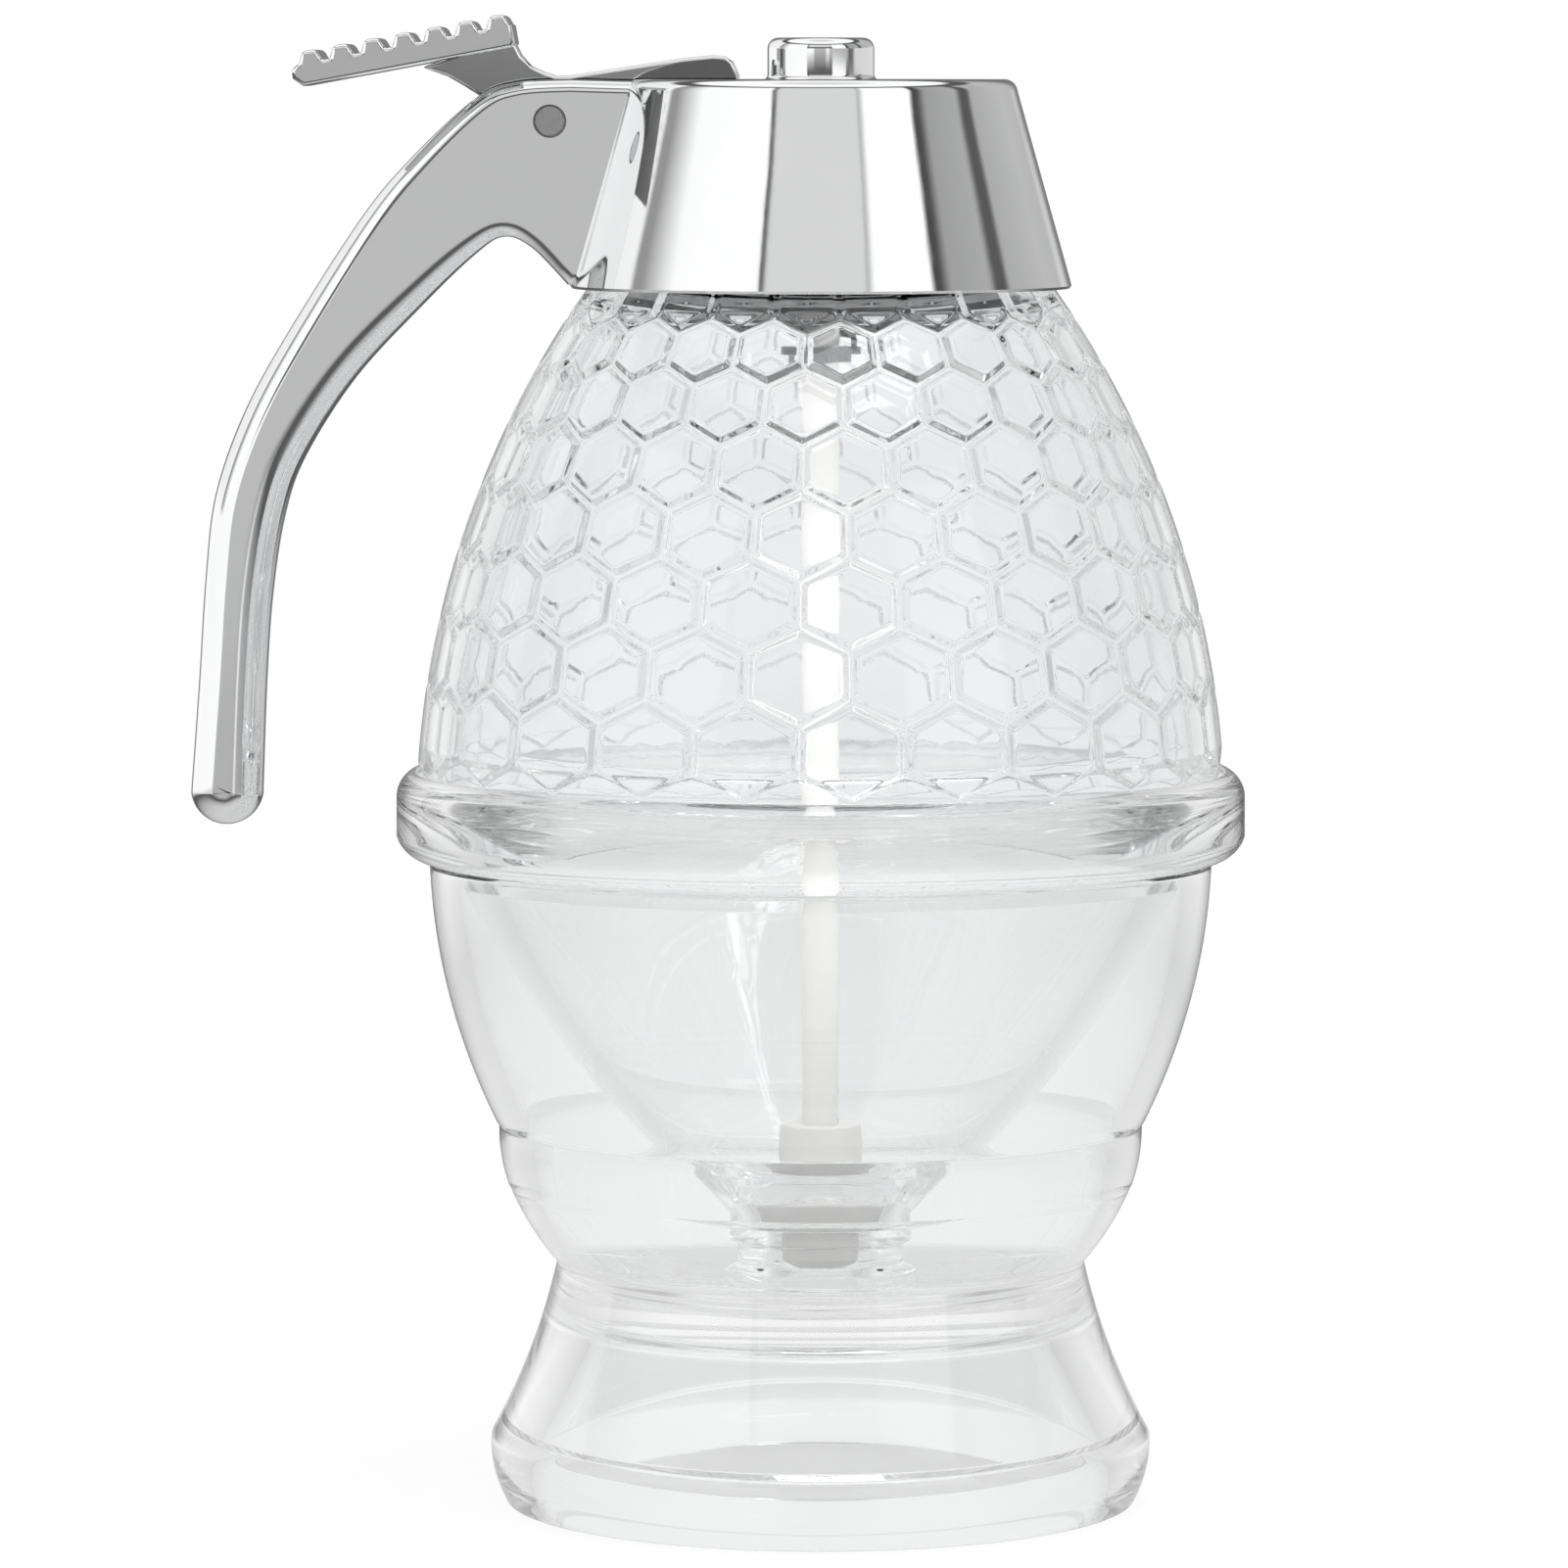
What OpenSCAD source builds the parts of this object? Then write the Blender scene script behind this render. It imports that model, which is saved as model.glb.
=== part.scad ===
// Beehive honey dispenser on a drip stand.
// A clear stand carries a clear funnel and a honeycomb hive. A chromed cap with a side handle
// holds a thumb lever, which lifts a rod and its stopper out of the nozzle.
// Origin: centre of the stand's foot, on the surface it stands on. +Z is up, the handle points to -X.

/* [Stand] */
// Radius of the foot where it is widest
foot_r = 36.2; // [35:0.2:37.4]
// Height of the foot's widest line above the table
foot_edge_z = 6.7; // [5:0.2:8]
// Radius of the narrow waist
waist_r = 28.9; // [28:0.2:30]
// Height of the waist
waist_z = 26.4; // [25:0.2:28]
// Radius of the bowl's lower bulge, at the step
step_r = 35.2; // [34.4:0.2:36]
// Height of the step in the bowl
step_z = 41.6; // [40:0.2:43]
// How far the bowl's rim lies inside the collar's edge
rim_inset = 3.6; // [2.7:0.1:4.2]
// Height of the bowl's rim
rim_z = 70.7; // [68:0.5:74]
// Wall of the bowl
stand_wall = 3.2; // [2.8:0.1:3.6]
// Wall of the hollow foot at the table
foot_wall = 4.7; // [4.2:0.1:5.2]
// Thickness of the drip floor
floor_t = 2.6; // [2:0.1:3]

/* [Funnel] */
// How far the collar stands out past the hive's base
collar_lip = 2.2; // [1.8:0.1:3.6]
// Height of the collar, from the stand's rim to its top edge
collar_h = 9.7; // [9:0.1:11]
// Wall of the funnel
funnel_wall = 2.6; // [2.2:0.1:3]
// Radius of the nozzle's lower ring
nozzle_r = 10.4; // [9.8:0.1:11]
// Radius of the nozzle between its rings
nozzle_neck_r = 9; // [8.4:0.1:9.3]
// Gap between the nozzle and the drip floor
nozzle_gap = 1; // [0.8:0.1:2]

/* [Hive] */
// Radius of the hive at its base, over the ribs
hive_base_r = 44.1; // [43.7:0.1:44.4]
// Radius of the hive's curved side, seen in profile
hive_side_r = 102; // [98:1:110]
// Height of the hive's shoulder above its base
hive_h = 56; // [55:0.1:57]
// Wall of the hive under its ribs
hive_wall = 2.6; // [2.2:0.1:3]
// Honeycomb cells round the hive
cells_around = 24; // [20:1:26]
// Largest height from one row of cells to the next, along the side
row_pitch = 7.5; // [7.2:0.1:7.9]
// Width of the flat top of a rib
rib_w = 1.1; // [0.8:0.1:1.4]
// Width of the slope from a rib down to the pane
bevel_w = 0.8; // [0.6:0.1:1]
// Depth of the panes below the ribs
cell_depth = 0.7; // [0.4:0.1:0.9]
// Width of the shoulder round the neck
shoulder_w = 4.8; // [4.5:0.1:5.4]
// Wall of the neck
neck_wall = 2.4; // [2:0.1:2.8]
// Height of the neck above the shoulder
neck_h = 4.8; // [4:0.1:5]

/* [Cap and handle] */
// Width of the cap's lower edge
cap_lip = 1.1; // [0.9:0.1:1.8]
// How much narrower the cap is at its flat top
cap_taper = 6.6; // [5.6:0.1:7.2]
// Height of the cap
cap_h = 23.5; // [23.2:0.1:24.5]
// Wall of the cap
cap_wall = 1.6; // [1.3:0.1:1.8]
// Radius of the knob on the cap
knob_r = 5.8; // [5.6:0.1:6.4]
// Height of the knob above the cap
knob_h = 4.5; // [4.3:0.1:6]
// How far the handle's outer edge stands out from the cap's top edge
handle_reach = 47.7; // [44:0.1:52]
// Drop from the cap's top to the start of the handle's round tip
handle_drop = 77.3; // [74:0.1:82]
// Thickness of the handle
handle_t = 10; // [9:0.2:12]
// Rounding of the handle's long edges
handle_edge = 2; // [1.2:0.1:2.4]

/* [Thumb lever] */
// Distance of the pivot outside the cap's top edge
pivot_out = 8.3; // [7.8:0.1:8.8]
// Depth of the pivot below the cap's top
pivot_down = 4.5; // [4.3:0.1:4.8]
// Radius of the pivot pin
pin_r = 1.8; // [1.5:0.1:2]
// Thickness of the lever's web and arm
lever_w = 5; // [4.4:0.1:5.2]
// Width of the thumb pad
pad_w = 16; // [13:0.5:20]
// Length of the thumb pad
pad_len = 24.2; // [22:0.2:27]
// Grip teeth across the pad
teeth = 7; // [5:1:9]
// Height of a grip tooth
tooth_h = 1.3; // [0.8:0.1:1.6]
// Slope of the pad
pad_slope = 10.5; // [8:0.5:12]
// Width of the finger at the arm's end
finger_w = 3; // [2.4:0.1:3.6]
// Thickness of that finger
finger_t = 2; // [1.6:0.1:2.2]

/* [Plunger and spring] */
// Radius of the lift rod
rod_r = 2; // [1.6:0.1:2.2]
// Radius of the stopper's plug, in the nozzle
plug_r = 4.2; // [3.8:0.1:4.6]
// Radius of the stopper's conical flange
flange_r = 7; // [6.4:0.1:7.6]
// Height of that flange
flange_h = 4; // [3.4:0.1:4.4]
// Radius of the rod's head
head_r = 4.1; // [3.8:0.1:4.1]
// Mean radius of the return spring
coil_r = 3.6; // [3.3:0.1:3.9]
// Diameter of the spring's wire
wire_d = 0.7; // [0.5:0.1:0.8]
// Curls of the return spring
curls = 7; // [5:1:7]
// Length of the spring at rest
spring_len = 12.3; // [12:0.1:13]

/* [Fits] */
// Gap round pieces that seat in each other
seat_gap = 0.3; // [0.2:0.05:0.4]
// Radial clearance of the pin, the rod and the plug in their bores
running_gap = 0.05; // [0.03:0.01:0.08]
// Side clearance of the lever in its slot
slot_gap = 0.3; // [0.2:0.05:0.5]

/* [Hidden] */

FINE = 96;
ARC = 8;

// Radii that follow the hive's base
collar_r = hive_base_r + collar_lip;
rim_r = collar_r - rim_inset;

// Heights, from the table up
floor_top = waist_z - 4;
floor_under = floor_top - floor_t;
nozzle_z = floor_top + nozzle_gap;
nozzle_ring_h = 4.1;
nozzle_neck_h = 3.1;
nozzle_top_h = 1.8;
seat_z = nozzle_z + nozzle_ring_h + nozzle_neck_h + nozzle_top_h - 0.2;
collar_top = rim_z + collar_h;
lip_h = 1.8;
hive_z = collar_top - lip_h;
shoulder_z = hive_z + hive_h;
neck_top = shoulder_z + neck_h;
gasket_t = 1;
liner_t = 2;
liner_under = neck_top + gasket_t;
liner_top = liner_under + liner_t;
cap_z = shoulder_z - 2.6;
cap_top = cap_z + cap_h;
plate_t = 1.8;
plate_under = cap_top - plate_t;
knob_top = cap_top + knob_h;
knob_skin = 1.2;

// The hive's side is an arc. A height on it is given as a length u along the arc, up from the base.
side_lean = asin((hive_z - 73.9) / hive_side_r);
side_centre = [hive_base_r - hive_side_r * cos(side_lean), hive_z - hive_side_r * sin(side_lean)];
function arc_len(z) = hive_side_r * (asin((z - side_centre.y) / hive_side_r) - side_lean) * PI / 180;
function lean(u) = side_lean + u / hive_side_r * 180 / PI;
function side_radius(u, depth) = side_centre.x + (hive_side_r - depth) * cos(lean(u));
function side_height(u, depth) = side_centre.y + (hive_side_r - depth) * sin(lean(u));

// Radii that follow the hive's side: the neck's, and the cap's, whose lower edge clears the hive
comb_top = arc_len(shoulder_z - 0.6);
neck_r = side_radius(comb_top, 0) - shoulder_w;
hive_room = side_radius(arc_len(cap_z), 0) + 1.5 * seat_gap;
cap_r = hive_room + cap_lip;
cap_top_r = cap_r - cap_taper;

// The lever's pivot, seen from the front as x and z
pivot = [-(cap_top_r + pivot_out), cap_top - pivot_down];
finger_drop = 2.4;
finger_z = pivot.y - finger_drop;

// The plunger's head and rod
eye_below = finger_t / 2 + 0.95;
eye_above = finger_t / 2 + 0.5;
head_bridge = 2.4;
head_foot = 3.4;
head_z = finger_z - eye_below - head_foot;
head_top = finger_z + eye_above + head_bridge;
rod_top = head_z + head_foot - 0.7;
rod_z = seat_z + 1.3;
guide_len = 4;
spring_top = liner_top - guide_len;
spring_z = spring_top - spring_len;
washer_t = 0.8;
washer_r = coil_r + wire_d / 2 + 0.4;

// Bores
bore_r = plug_r + running_gap;
guide_r = rod_r + running_gap;
head_bore_r = head_r + 0.2;

// Widths of the lever's slots
slot_w = lever_w + 2 * slot_gap;
eye_w = finger_w + 2 * slot_gap;

// ---- Curves ----

// Points of an arc from a to b with radius r. Its centre is on the left for r > 0, on the right for r < 0.
function arc(a, b, r, n = ARC) =
    let (
        d = b - a,
        c = norm(d),
        rr = max(abs(r), c / 2 + 0.001),
        o = (a + b) / 2 + [-d.y, d.x] / c * sqrt(rr * rr - c * c / 4) * sign(r),
        a0 = atan2(a.y - o.y, a.x - o.x),
        turn = atan2(b.y - o.y, b.x - o.x) - a0,
        sweep = turn > 180 ? turn - 360 : turn < -180 ? turn + 360 : turn
    )
    [for (i = [0:n]) o + rr * [cos(a0 + sweep * i / n), sin(a0 + sweep * i / n)]];

// A smooth curve through the points p, with n steps from each to the next
function through(p, n = 4) =
    let (last = len(p) - 1)
    concat(
        [
            for (i = [0:last - 1], s = [0:n - 1])
                let (
                    t = s / n,
                    a = p[max(i - 1, 0)],
                    b = p[i],
                    c = p[i + 1],
                    d = p[min(i + 2, last)]
                )
                (2 * b + (c - a) * t + (2 * a - 5 * b + 4 * c - d) * t * t
                    + (3 * b - a - 3 * c + d) * t * t * t) / 2
        ],
        [p[last]]
    );

function unit(v) = v / norm(v);

// A closed outline moved inwards by d. The outline runs anticlockwise.
function inset(p, d) =
    let (n = len(p))
    [
        for (i = [0:n - 1])
            let (
                a = unit(p[i] - p[(i + n - 1) % n]),
                b = unit(p[(i + 1) % n] - p[i])
            )
            p[i] + d * [-a.y - b.y, a.x + b.x] / (1 + a * b)
    ];

module revolve(profile) {
    rotate_extrude($fn = FINE) polygon(profile);
}

// A flat piece cut from the x-z plane, centred on y = 0
module plate(outline, thickness) {
    rotate([90, 0, 0]) linear_extrude(height = thickness, center = true) polygon(outline);
}

// ---- Stand ----

// A hollow foot, a waist with the drip floor in it, and a bowl that carries the collar
module stand() {
    foot_corner = 13.4;
    flare = 71.7;
    bowl_side = 69.4;
    bulge = 18.2;
    bulge_z = (waist_z + step_z) / 2 + 1;
    bulge_r = step_r - 1.1;
    cavity_top_r = waist_r - 3.7;
    cavity_corner = 2.5;
    cavity_step_r = foot_r - 5.9;
    rim_round = 0.5;
    profile = concat(
        arc([foot_r - 1.8, 0], [foot_r, foot_edge_z], foot_corner, 4),
        arc([foot_r - 0.1, foot_edge_z + 0.8], [waist_r, waist_z], -flare),
        arc([waist_r + 0.2, waist_z + 0.4], [bulge_r, bulge_z], 30, 4),
        arc([bulge_r + 0.1, bulge_z + 0.1], [step_r, step_z], bulge, 4),
        arc([step_r + 0.3, step_z + 0.4], [rim_r, rim_z - rim_round], bowl_side),
        [[rim_r - rim_round, rim_z], [rim_r - stand_wall + rim_round, rim_z]],
        arc([rim_r - stand_wall, rim_z - rim_round], [step_r - stand_wall, step_z],
            -(bowl_side - stand_wall)),
        arc([step_r - stand_wall - 0.1, step_z - 0.6], [waist_r - 4.4, floor_top + 2.6], -24, 5),
        arc([waist_r - 4.8, floor_top + 2.1], [waist_r - 8, floor_top], -4, 3),
        [[0, floor_top], [0, floor_under]],
        arc([cavity_top_r - cavity_corner, floor_under], [cavity_top_r, floor_under - cavity_corner],
            -cavity_corner, 4),
        [
            [cavity_step_r, foot_edge_z + 0.2],
            [foot_r - 1.8 - foot_wall + 1.5, foot_edge_z - 0.2],
            [foot_r - 1.8 - foot_wall + 1.8, 0],
        ]
    );
    color("azure", 0.5) revolve(profile);
}

// ---- Funnel bowl with its collar and nozzle ----

module funnel_bowl() {
    side = 100.2;
    hip_r = 15.7;
    hip_z = seat_z + 4.6;
    spigot_r = rim_r - stand_wall - seat_gap;
    spigot_h = 2;
    under_r = rim_r + 0.3;
    corner = 2.6;
    lip_r = hive_base_r + seat_gap / 2;
    inner_top_r = hive_base_r - hive_wall;
    ring_top = nozzle_z + nozzle_ring_h + nozzle_neck_h;
    top_ring_r = (nozzle_r + nozzle_neck_r) / 2 + 0.2;
    soft = 0.4;
    throat_r = flange_r + seat_gap;
    seat_r = flange_r * 0.77 + seat_gap;
    throat_z = seat_z + flange_h;
    profile = concat(
        [
            [bore_r + 0.6, nozzle_z],
            [nozzle_r - soft, nozzle_z],
            [nozzle_r, nozzle_z + soft],
            [nozzle_r, nozzle_z + nozzle_ring_h - soft],
            [nozzle_r - soft, nozzle_z + nozzle_ring_h],
            [nozzle_neck_r, nozzle_z + nozzle_ring_h + soft],
            [nozzle_neck_r, ring_top - soft],
            [top_ring_r, ring_top],
            [top_ring_r, ring_top + nozzle_top_h],
            [hip_r, hip_z],
            [hip_r, hip_z + 0.5],
        ],
        arc([hip_r + 1, hip_z + 1.3], [spigot_r, rim_z - spigot_h], side),
        [[spigot_r, rim_z], [under_r, rim_z]],
        arc([under_r + 0.2, rim_z + 0.1], [collar_r, rim_z + corner], 3.6, 4),
        arc([collar_r, collar_top - corner], [lip_r + 0.3, collar_top], 3.2, 4),
        [
            [lip_r, collar_top],
            [lip_r, hive_z],
            [inner_top_r, hive_z],
        ],
        arc([inner_top_r - 3.8, hive_z - 4.6], [hip_r - 1.1, hip_z + 2.8], -(side - funnel_wall)),
        [
            [throat_r, throat_z],
            [seat_r, seat_z],
            [bore_r, seat_z],
            [bore_r, nozzle_z + 0.6],
        ]
    );
    color("azure", 0.5) revolve(profile);
}

// ---- Hive with its honeycomb ----

half_step = 180 / cells_around;
cell_phase = -3.4;
full_rows = 8;
comb_floor = arc_len(collar_top + 0.3);
ledge_u = arc_len(hive_z + 4.6);

function on_side(angle, u, depth) =
    let (r = side_radius(u, depth))
    [r * cos(angle), r * sin(angle), side_height(u, depth)];
function half_cell(u) = side_radius(u, 0) * half_step * PI / 180;

// Rows are row_pitch apart, and closer where the cells get narrow, so that they stay hexagons.
function row_step(u) = min(row_pitch, sqrt(3) * half_cell(u + row_pitch));
function row_centres(u, n) = n == 0 ? [u] : concat([u], row_centres(u + row_step(u), n - 1));
rows_u = row_centres(0.03 * row_pitch, full_rows + 1);

// The zigzag of ribs over row k: its low and high corners
function zig_mid(k) = (rows_u[k] + rows_u[k + 1]) / 2;
function zig_half(k) = (rows_u[k + 1] - rows_u[k]) / 6;

// The six corners of a cell in row k, moved inwards by d, as [angle from its middle, u]
function corners(k, d) =
    let (
        w = half_cell(rows_u[k]),
        s = (w - d) / w,
        up = k <= full_rows ? zig_half(k) : zig_half(k - 1),
        dn = k >= 1 ? zig_half(k - 1) : zig_half(k),
        hi = k <= full_rows ? zig_mid(k) : comb_top + row_pitch,
        lo = k >= 1 ? zig_mid(k - 1) : comb_floor - row_pitch,
        du = d * norm([1, 2 * up / w]),
        dd = d * norm([1, 2 * dn / w]),
        hi_side = hi + up - 2 * up * s - du,
        lo_side = lo - dn + 2 * dn * s + dd,
        top_u = min(hi_side, comb_top),
        low_u = max(lo_side, comb_floor)
    )
    [
        [0, hi + up - du],
        [-s, top_u],
        [-s, min(low_u, top_u - 0.2)],
        [0, lo - dn + dd],
        [s, min(low_u, top_u - 0.2)],
        [s, top_u],
    ];

function cell_angle(k, i) = cell_phase + 2 * half_step * i + half_step * (k % 2);
function placed(k, i, c, depth) = on_side(cell_angle(k, i) + c[0] * half_step, c[1], depth);

// Rows 1 to full_rows are whole cells. Row 0 and the last row are cut off by the hive's ends.
last_row = full_rows + 1;
LOW_KEEP = [0, 1, 2, 4, 5];
TOP_KEEP = [1, 2, 3, 4, 5];
ledge_gap = 0.5;
function pane(k) =
    let (c = corners(k, rib_w / 2 + bevel_w))
    [for (v = c) [v[0], k == 1 ? max(v[1], ledge_u + (abs(v[0]) > 0 ? 0 : -ledge_gap)) : v[1]]];

low_points = [for (i = [0:cells_around - 1], v = LOW_KEEP) placed(0, i, corners(0, rib_w / 2)[v], 0)];
cell_points = [
    for (k = [1:full_rows])
        let (rim = corners(k, rib_w / 2), bed = pane(k))
        for (i = [0:cells_around - 1], v = [0:11])
            v < 6 ? placed(k, i, rim[v], 0) : placed(k, i, bed[v - 6], cell_depth)
];
top_points = [
    for (i = [0:cells_around - 1], v = TOP_KEEP) placed(last_row, i, corners(last_row, rib_w / 2)[v], 0)
];

low_count = 5 * cells_around;
cells_count = 12 * cells_around * full_rows;

// Place of corner v of cell i in row k in the list of points
function at(k, i, v) =
    let (j = (i + cells_around) % cells_around)
    k == 0 ? 5 * j + (v < 3 ? v : v - 1)
    : k == last_row ? low_count + cells_count + 5 * j + v - 1
    : low_count + 12 * (cells_around * (k - 1) + j) + v;

function quad(a, b, c, d) = [[a, b, c], [a, c, d]];

// The slopes and the pane of a whole cell
function cell_faces(k, i) = concat(
    [
        for (v = [0:5])
            let (w = (v + 1) % 6)
            each quad(at(k, i, v), at(k, i, w), at(k, i, w + 6), at(k, i, v + 6))
    ],
    [for (v = [1:4]) [at(k, i, 6), at(k, i, v + 6), at(k, i, v + 7)]]
);

// The rib between a cell and the next one in its row
function upright_faces(k, i) = quad(at(k, i, 4), at(k, i + 1, 2), at(k, i + 1, 1), at(k, i, 5));

// The ribs between a cell and the row over it
function zigzag_faces(k, i) =
    let (right = i + (k % 2), left = right - 1)
    concat(
        quad(at(k, i, 0), at(k, i, 5), at(k + 1, right, 3), at(k + 1, right, 2)),
        quad(at(k, i, 1), at(k, i, 0), at(k + 1, left, 4), at(k + 1, left, 3)),
        [
            [at(k, i, 0), at(k + 1, right, 2), at(k + 1, left, 4)],
            [at(k, i, 5), at(k, i + 1, 1), at(k + 1, right, 3)],
        ]
    );

comb_faces = concat(
    [for (k = [1:full_rows], i = [0:cells_around - 1], f = cell_faces(k, i)) f],
    [for (k = [0:last_row], i = [0:cells_around - 1], f = upright_faces(k, i)) f],
    [for (k = [0:full_rows], i = [0:cells_around - 1], f = zigzag_faces(k, i)) f],
    [
        for (i = [0:cells_around - 1], f = [
            [at(0, i, 0), at(0, i, 1), at(0, i, 2)],
            [at(0, i, 0), at(0, i, 2), at(0, i, 4)],
            [at(0, i, 0), at(0, i, 4), at(0, i, 5)],
            [at(last_row, i, 3), at(last_row, i, 4), at(last_row, i, 5)],
            [at(last_row, i, 3), at(last_row, i, 5), at(last_row, i, 1)],
            [at(last_row, i, 3), at(last_row, i, 1), at(last_row, i, 2)],
        ]) f
    ]
);

// Plain rings: up over the shoulder and the neck, down the inside, and out to the base
neck_in = neck_r - neck_wall;
inner_depth = cell_depth + hive_wall;
inner_top_u = arc_len(shoulder_z - hive_wall);
inner_steps = 9;
ring_profile = concat(
    [
        [side_radius(comb_top, 0) - 0.9, shoulder_z],
        [neck_r, shoulder_z],
        [neck_r, neck_top],
        [neck_in, neck_top],
        [neck_in, shoulder_z - hive_wall + 0.4],
    ],
    [
        for (s = [0:inner_steps])
            let (u = inner_top_u * (1 - s / inner_steps))
            [side_radius(u, inner_depth), s == inner_steps ? hive_z : side_height(u, inner_depth)]
    ],
    [[hive_base_r, hive_z]]
);
ring_size = 2 * cells_around;
ring_points = [
    for (p = ring_profile, m = [0:ring_size - 1])
        let (a = cell_phase + half_step * (m + 0.5))
        [p[0] * cos(a), p[0] * sin(a), p[1]]
];
rings_start = low_count + cells_count + len(top_points);
function ring_at(j, m) = rings_start + ring_size * j + (m + ring_size) % ring_size;

// The open edges of the comb, in step with the rings' points
function comb_top_at(m) = let (n = (m + ring_size) % ring_size, i = floor(n / 2))
    last_row % 2 == 1 ? at(last_row, i, n % 2 == 0 ? 1 : 5)
    : at(last_row, floor((n + 1) / 2), n % 2 == 1 ? 1 : 5);
function comb_low_at(m) = let (n = (m + ring_size) % ring_size)
    at(0, floor((n + 1) / 2), n % 2 == 1 ? 2 : 4);
ring_faces = concat(
    [
        for (m = [0:ring_size - 1],
            f = quad(comb_top_at(m), comb_top_at(m + 1), ring_at(0, m + 1), ring_at(0, m))) f
    ],
    [
        for (j = [0:len(ring_profile) - 2], m = [0:ring_size - 1],
            f = quad(ring_at(j, m), ring_at(j, m + 1), ring_at(j + 1, m + 1), ring_at(j + 1, m))) f
    ],
    [
        for (j = [len(ring_profile) - 1], m = [0:ring_size - 1],
            f = quad(ring_at(j, m), ring_at(j, m + 1), comb_low_at(m + 1), comb_low_at(m))) f
    ]
);

module hive_dome() {
    color("azure", 0.5)
        polyhedron(
            points = concat(low_points, cell_points, top_points, ring_points),
            faces = [for (f = concat(ring_faces, comb_faces)) [f[2], f[1], f[0]]]
        );
}

// ---- Cap, handle and what is in them ----

module neck_gasket() {
    color("whitesmoke")
        revolve([
            [neck_in + 0.2, neck_top],
            [neck_r - 0.2, neck_top],
            [neck_r - 0.2, liner_under],
            [neck_in + 0.2, liner_under],
        ]);
}

// Radius of the cap's outside at height z
function cap_side(z) = cap_r + (cap_top_r - cap_r) * (z - cap_z) / cap_h;

liner_skirt = 1.8;
liner_r = neck_r + seat_gap + liner_skirt;

// The liner that grips the neck, with the rod's guide in its middle
module inner_cap() {
    skirt_z = shoulder_z + 0.5;
    color("dimgray")
        revolve([
            [guide_r, spring_top],
            [washer_r, spring_top],
            [washer_r, liner_under],
            [neck_r + seat_gap, liner_under],
            [neck_r + seat_gap, skirt_z],
            [liner_r, skirt_z],
            [liner_r, liner_top],
            [guide_r, liner_top],
        ]);
}

// Points of the handle's edges: how far out as a share of its reach, how far down as a share of its drop
HANDLE_OUTER = [
    [0.126, 0], [0.25, 0.004], [0.34, 0.025], [0.478, 0.102], [0.602, 0.191],
    [0.78, 0.361], [0.878, 0.472], [0.941, 0.583], [0.964, 0.695], [0.981, 0.847], [1, 1],
];
HANDLE_INNER = [
    [0.836, 1], [0.826, 0.847], [0.811, 0.722], [0.782, 0.611], [0.734, 0.528],
    [0.618, 0.417], [0.463, 0.314], [0.35, 0.247], [0.281, 0.22], [0.216, 0.235], [0.134, 0.287],
];
function handle_point(p) = [-cap_top_r - p[0] * handle_reach, cap_top - p[1] * handle_drop];
// How far the handle's root is let into the cap's wall
root_depth = cap_wall / 2;
handle_outline = concat(
    [[-cap_top_r + 5, cap_top - 0.3]],
    through([for (p = HANDLE_OUTER) handle_point(p)], 3),
    arc(
        handle_point([1, 1]) - [0, 0.4],
        handle_point(HANDLE_INNER[0]) - [0, 0.4],
        handle_reach * 0.083, 11
    ),
    through([for (p = HANDLE_INNER) handle_point(p)], 3),
    [[-cap_top_r + 3, handle_point(HANDLE_INNER[10]).y]]
);
// What is cut off the handle inside the cap's wall, up to the same slope as the cap's side
root_cut = [
    [-cap_side(cap_z - 1) + root_depth, cap_z - 1],
    [-cap_side(cap_top + 1) + root_depth, cap_top + 1],
    [0, cap_top + 1],
    [0, cap_z - 1],
];

// The outline made into a thick piece with rounded long edges. Its cheeks are strips from the outer to the
// inner edge, which have the same number of points.
module handle_body() {
    steps = 3;
    n = len(handle_outline);
    pairs = n / 2;
    levels = [
        for (side = [-1, 1], s = [0:steps])
            let (a = 90 * (side < 0 ? steps - s : s) / steps)
            [side * (handle_t / 2 - handle_edge + handle_edge * sin(a)), handle_edge * (1 - cos(a))]
    ];
    points = [for (l = levels, p = inset(handle_outline, l[1])) [p.x, l[0], p.y]];
    sides = [
        for (j = [0:len(levels) - 2], i = [0:n - 1],
            f = quad(j * n + i, j * n + (i + 1) % n, (j + 1) * n + (i + 1) % n, (j + 1) * n + i)) f
    ];
    last = (len(levels) - 1) * n;
    cheeks = [
        for (i = [0:pairs - 2],
            f = concat(
                quad(n - 1 - i, n - 2 - i, i + 1, i),
                quad(last + i, last + i + 1, last + n - 2 - i, last + n - 1 - i)
            )) f
    ];
    polyhedron(points = points, faces = concat(sides, cheeks));
}

// The room that the lever needs in the handle and the cap, round its pivot
lever_room = [
    [-10.5, 12], [-10.5, 1.4], [-4, -3.2], [0, -4.1], [4, -3.6], [14, -1], [21.4, -1], [21.4, 12],
];

cap_corner = 1.2;
knob_round = 1.2;
cap_outside = concat(
    [[0, cap_z], [cap_r, cap_z]],
    arc([cap_side(cap_top - cap_corner), cap_top - cap_corner], [cap_top_r - cap_corner, cap_top],
        cap_corner + 0.2, 3),
    [[knob_r, cap_top]],
    arc([knob_r, knob_top - knob_round], [knob_r - knob_round, knob_top], knob_round, 4),
    [[0, knob_top]]
);

module pin_bore(r) {
    translate([pivot.x, 0, pivot.y])
        rotate([90, 0, 0]) cylinder(h = 2 * handle_t, r = r, center = true, $fn = 48);
}

module lever_slot() {
    plate([for (p = lever_room) pivot + p], slot_w);
}

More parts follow.
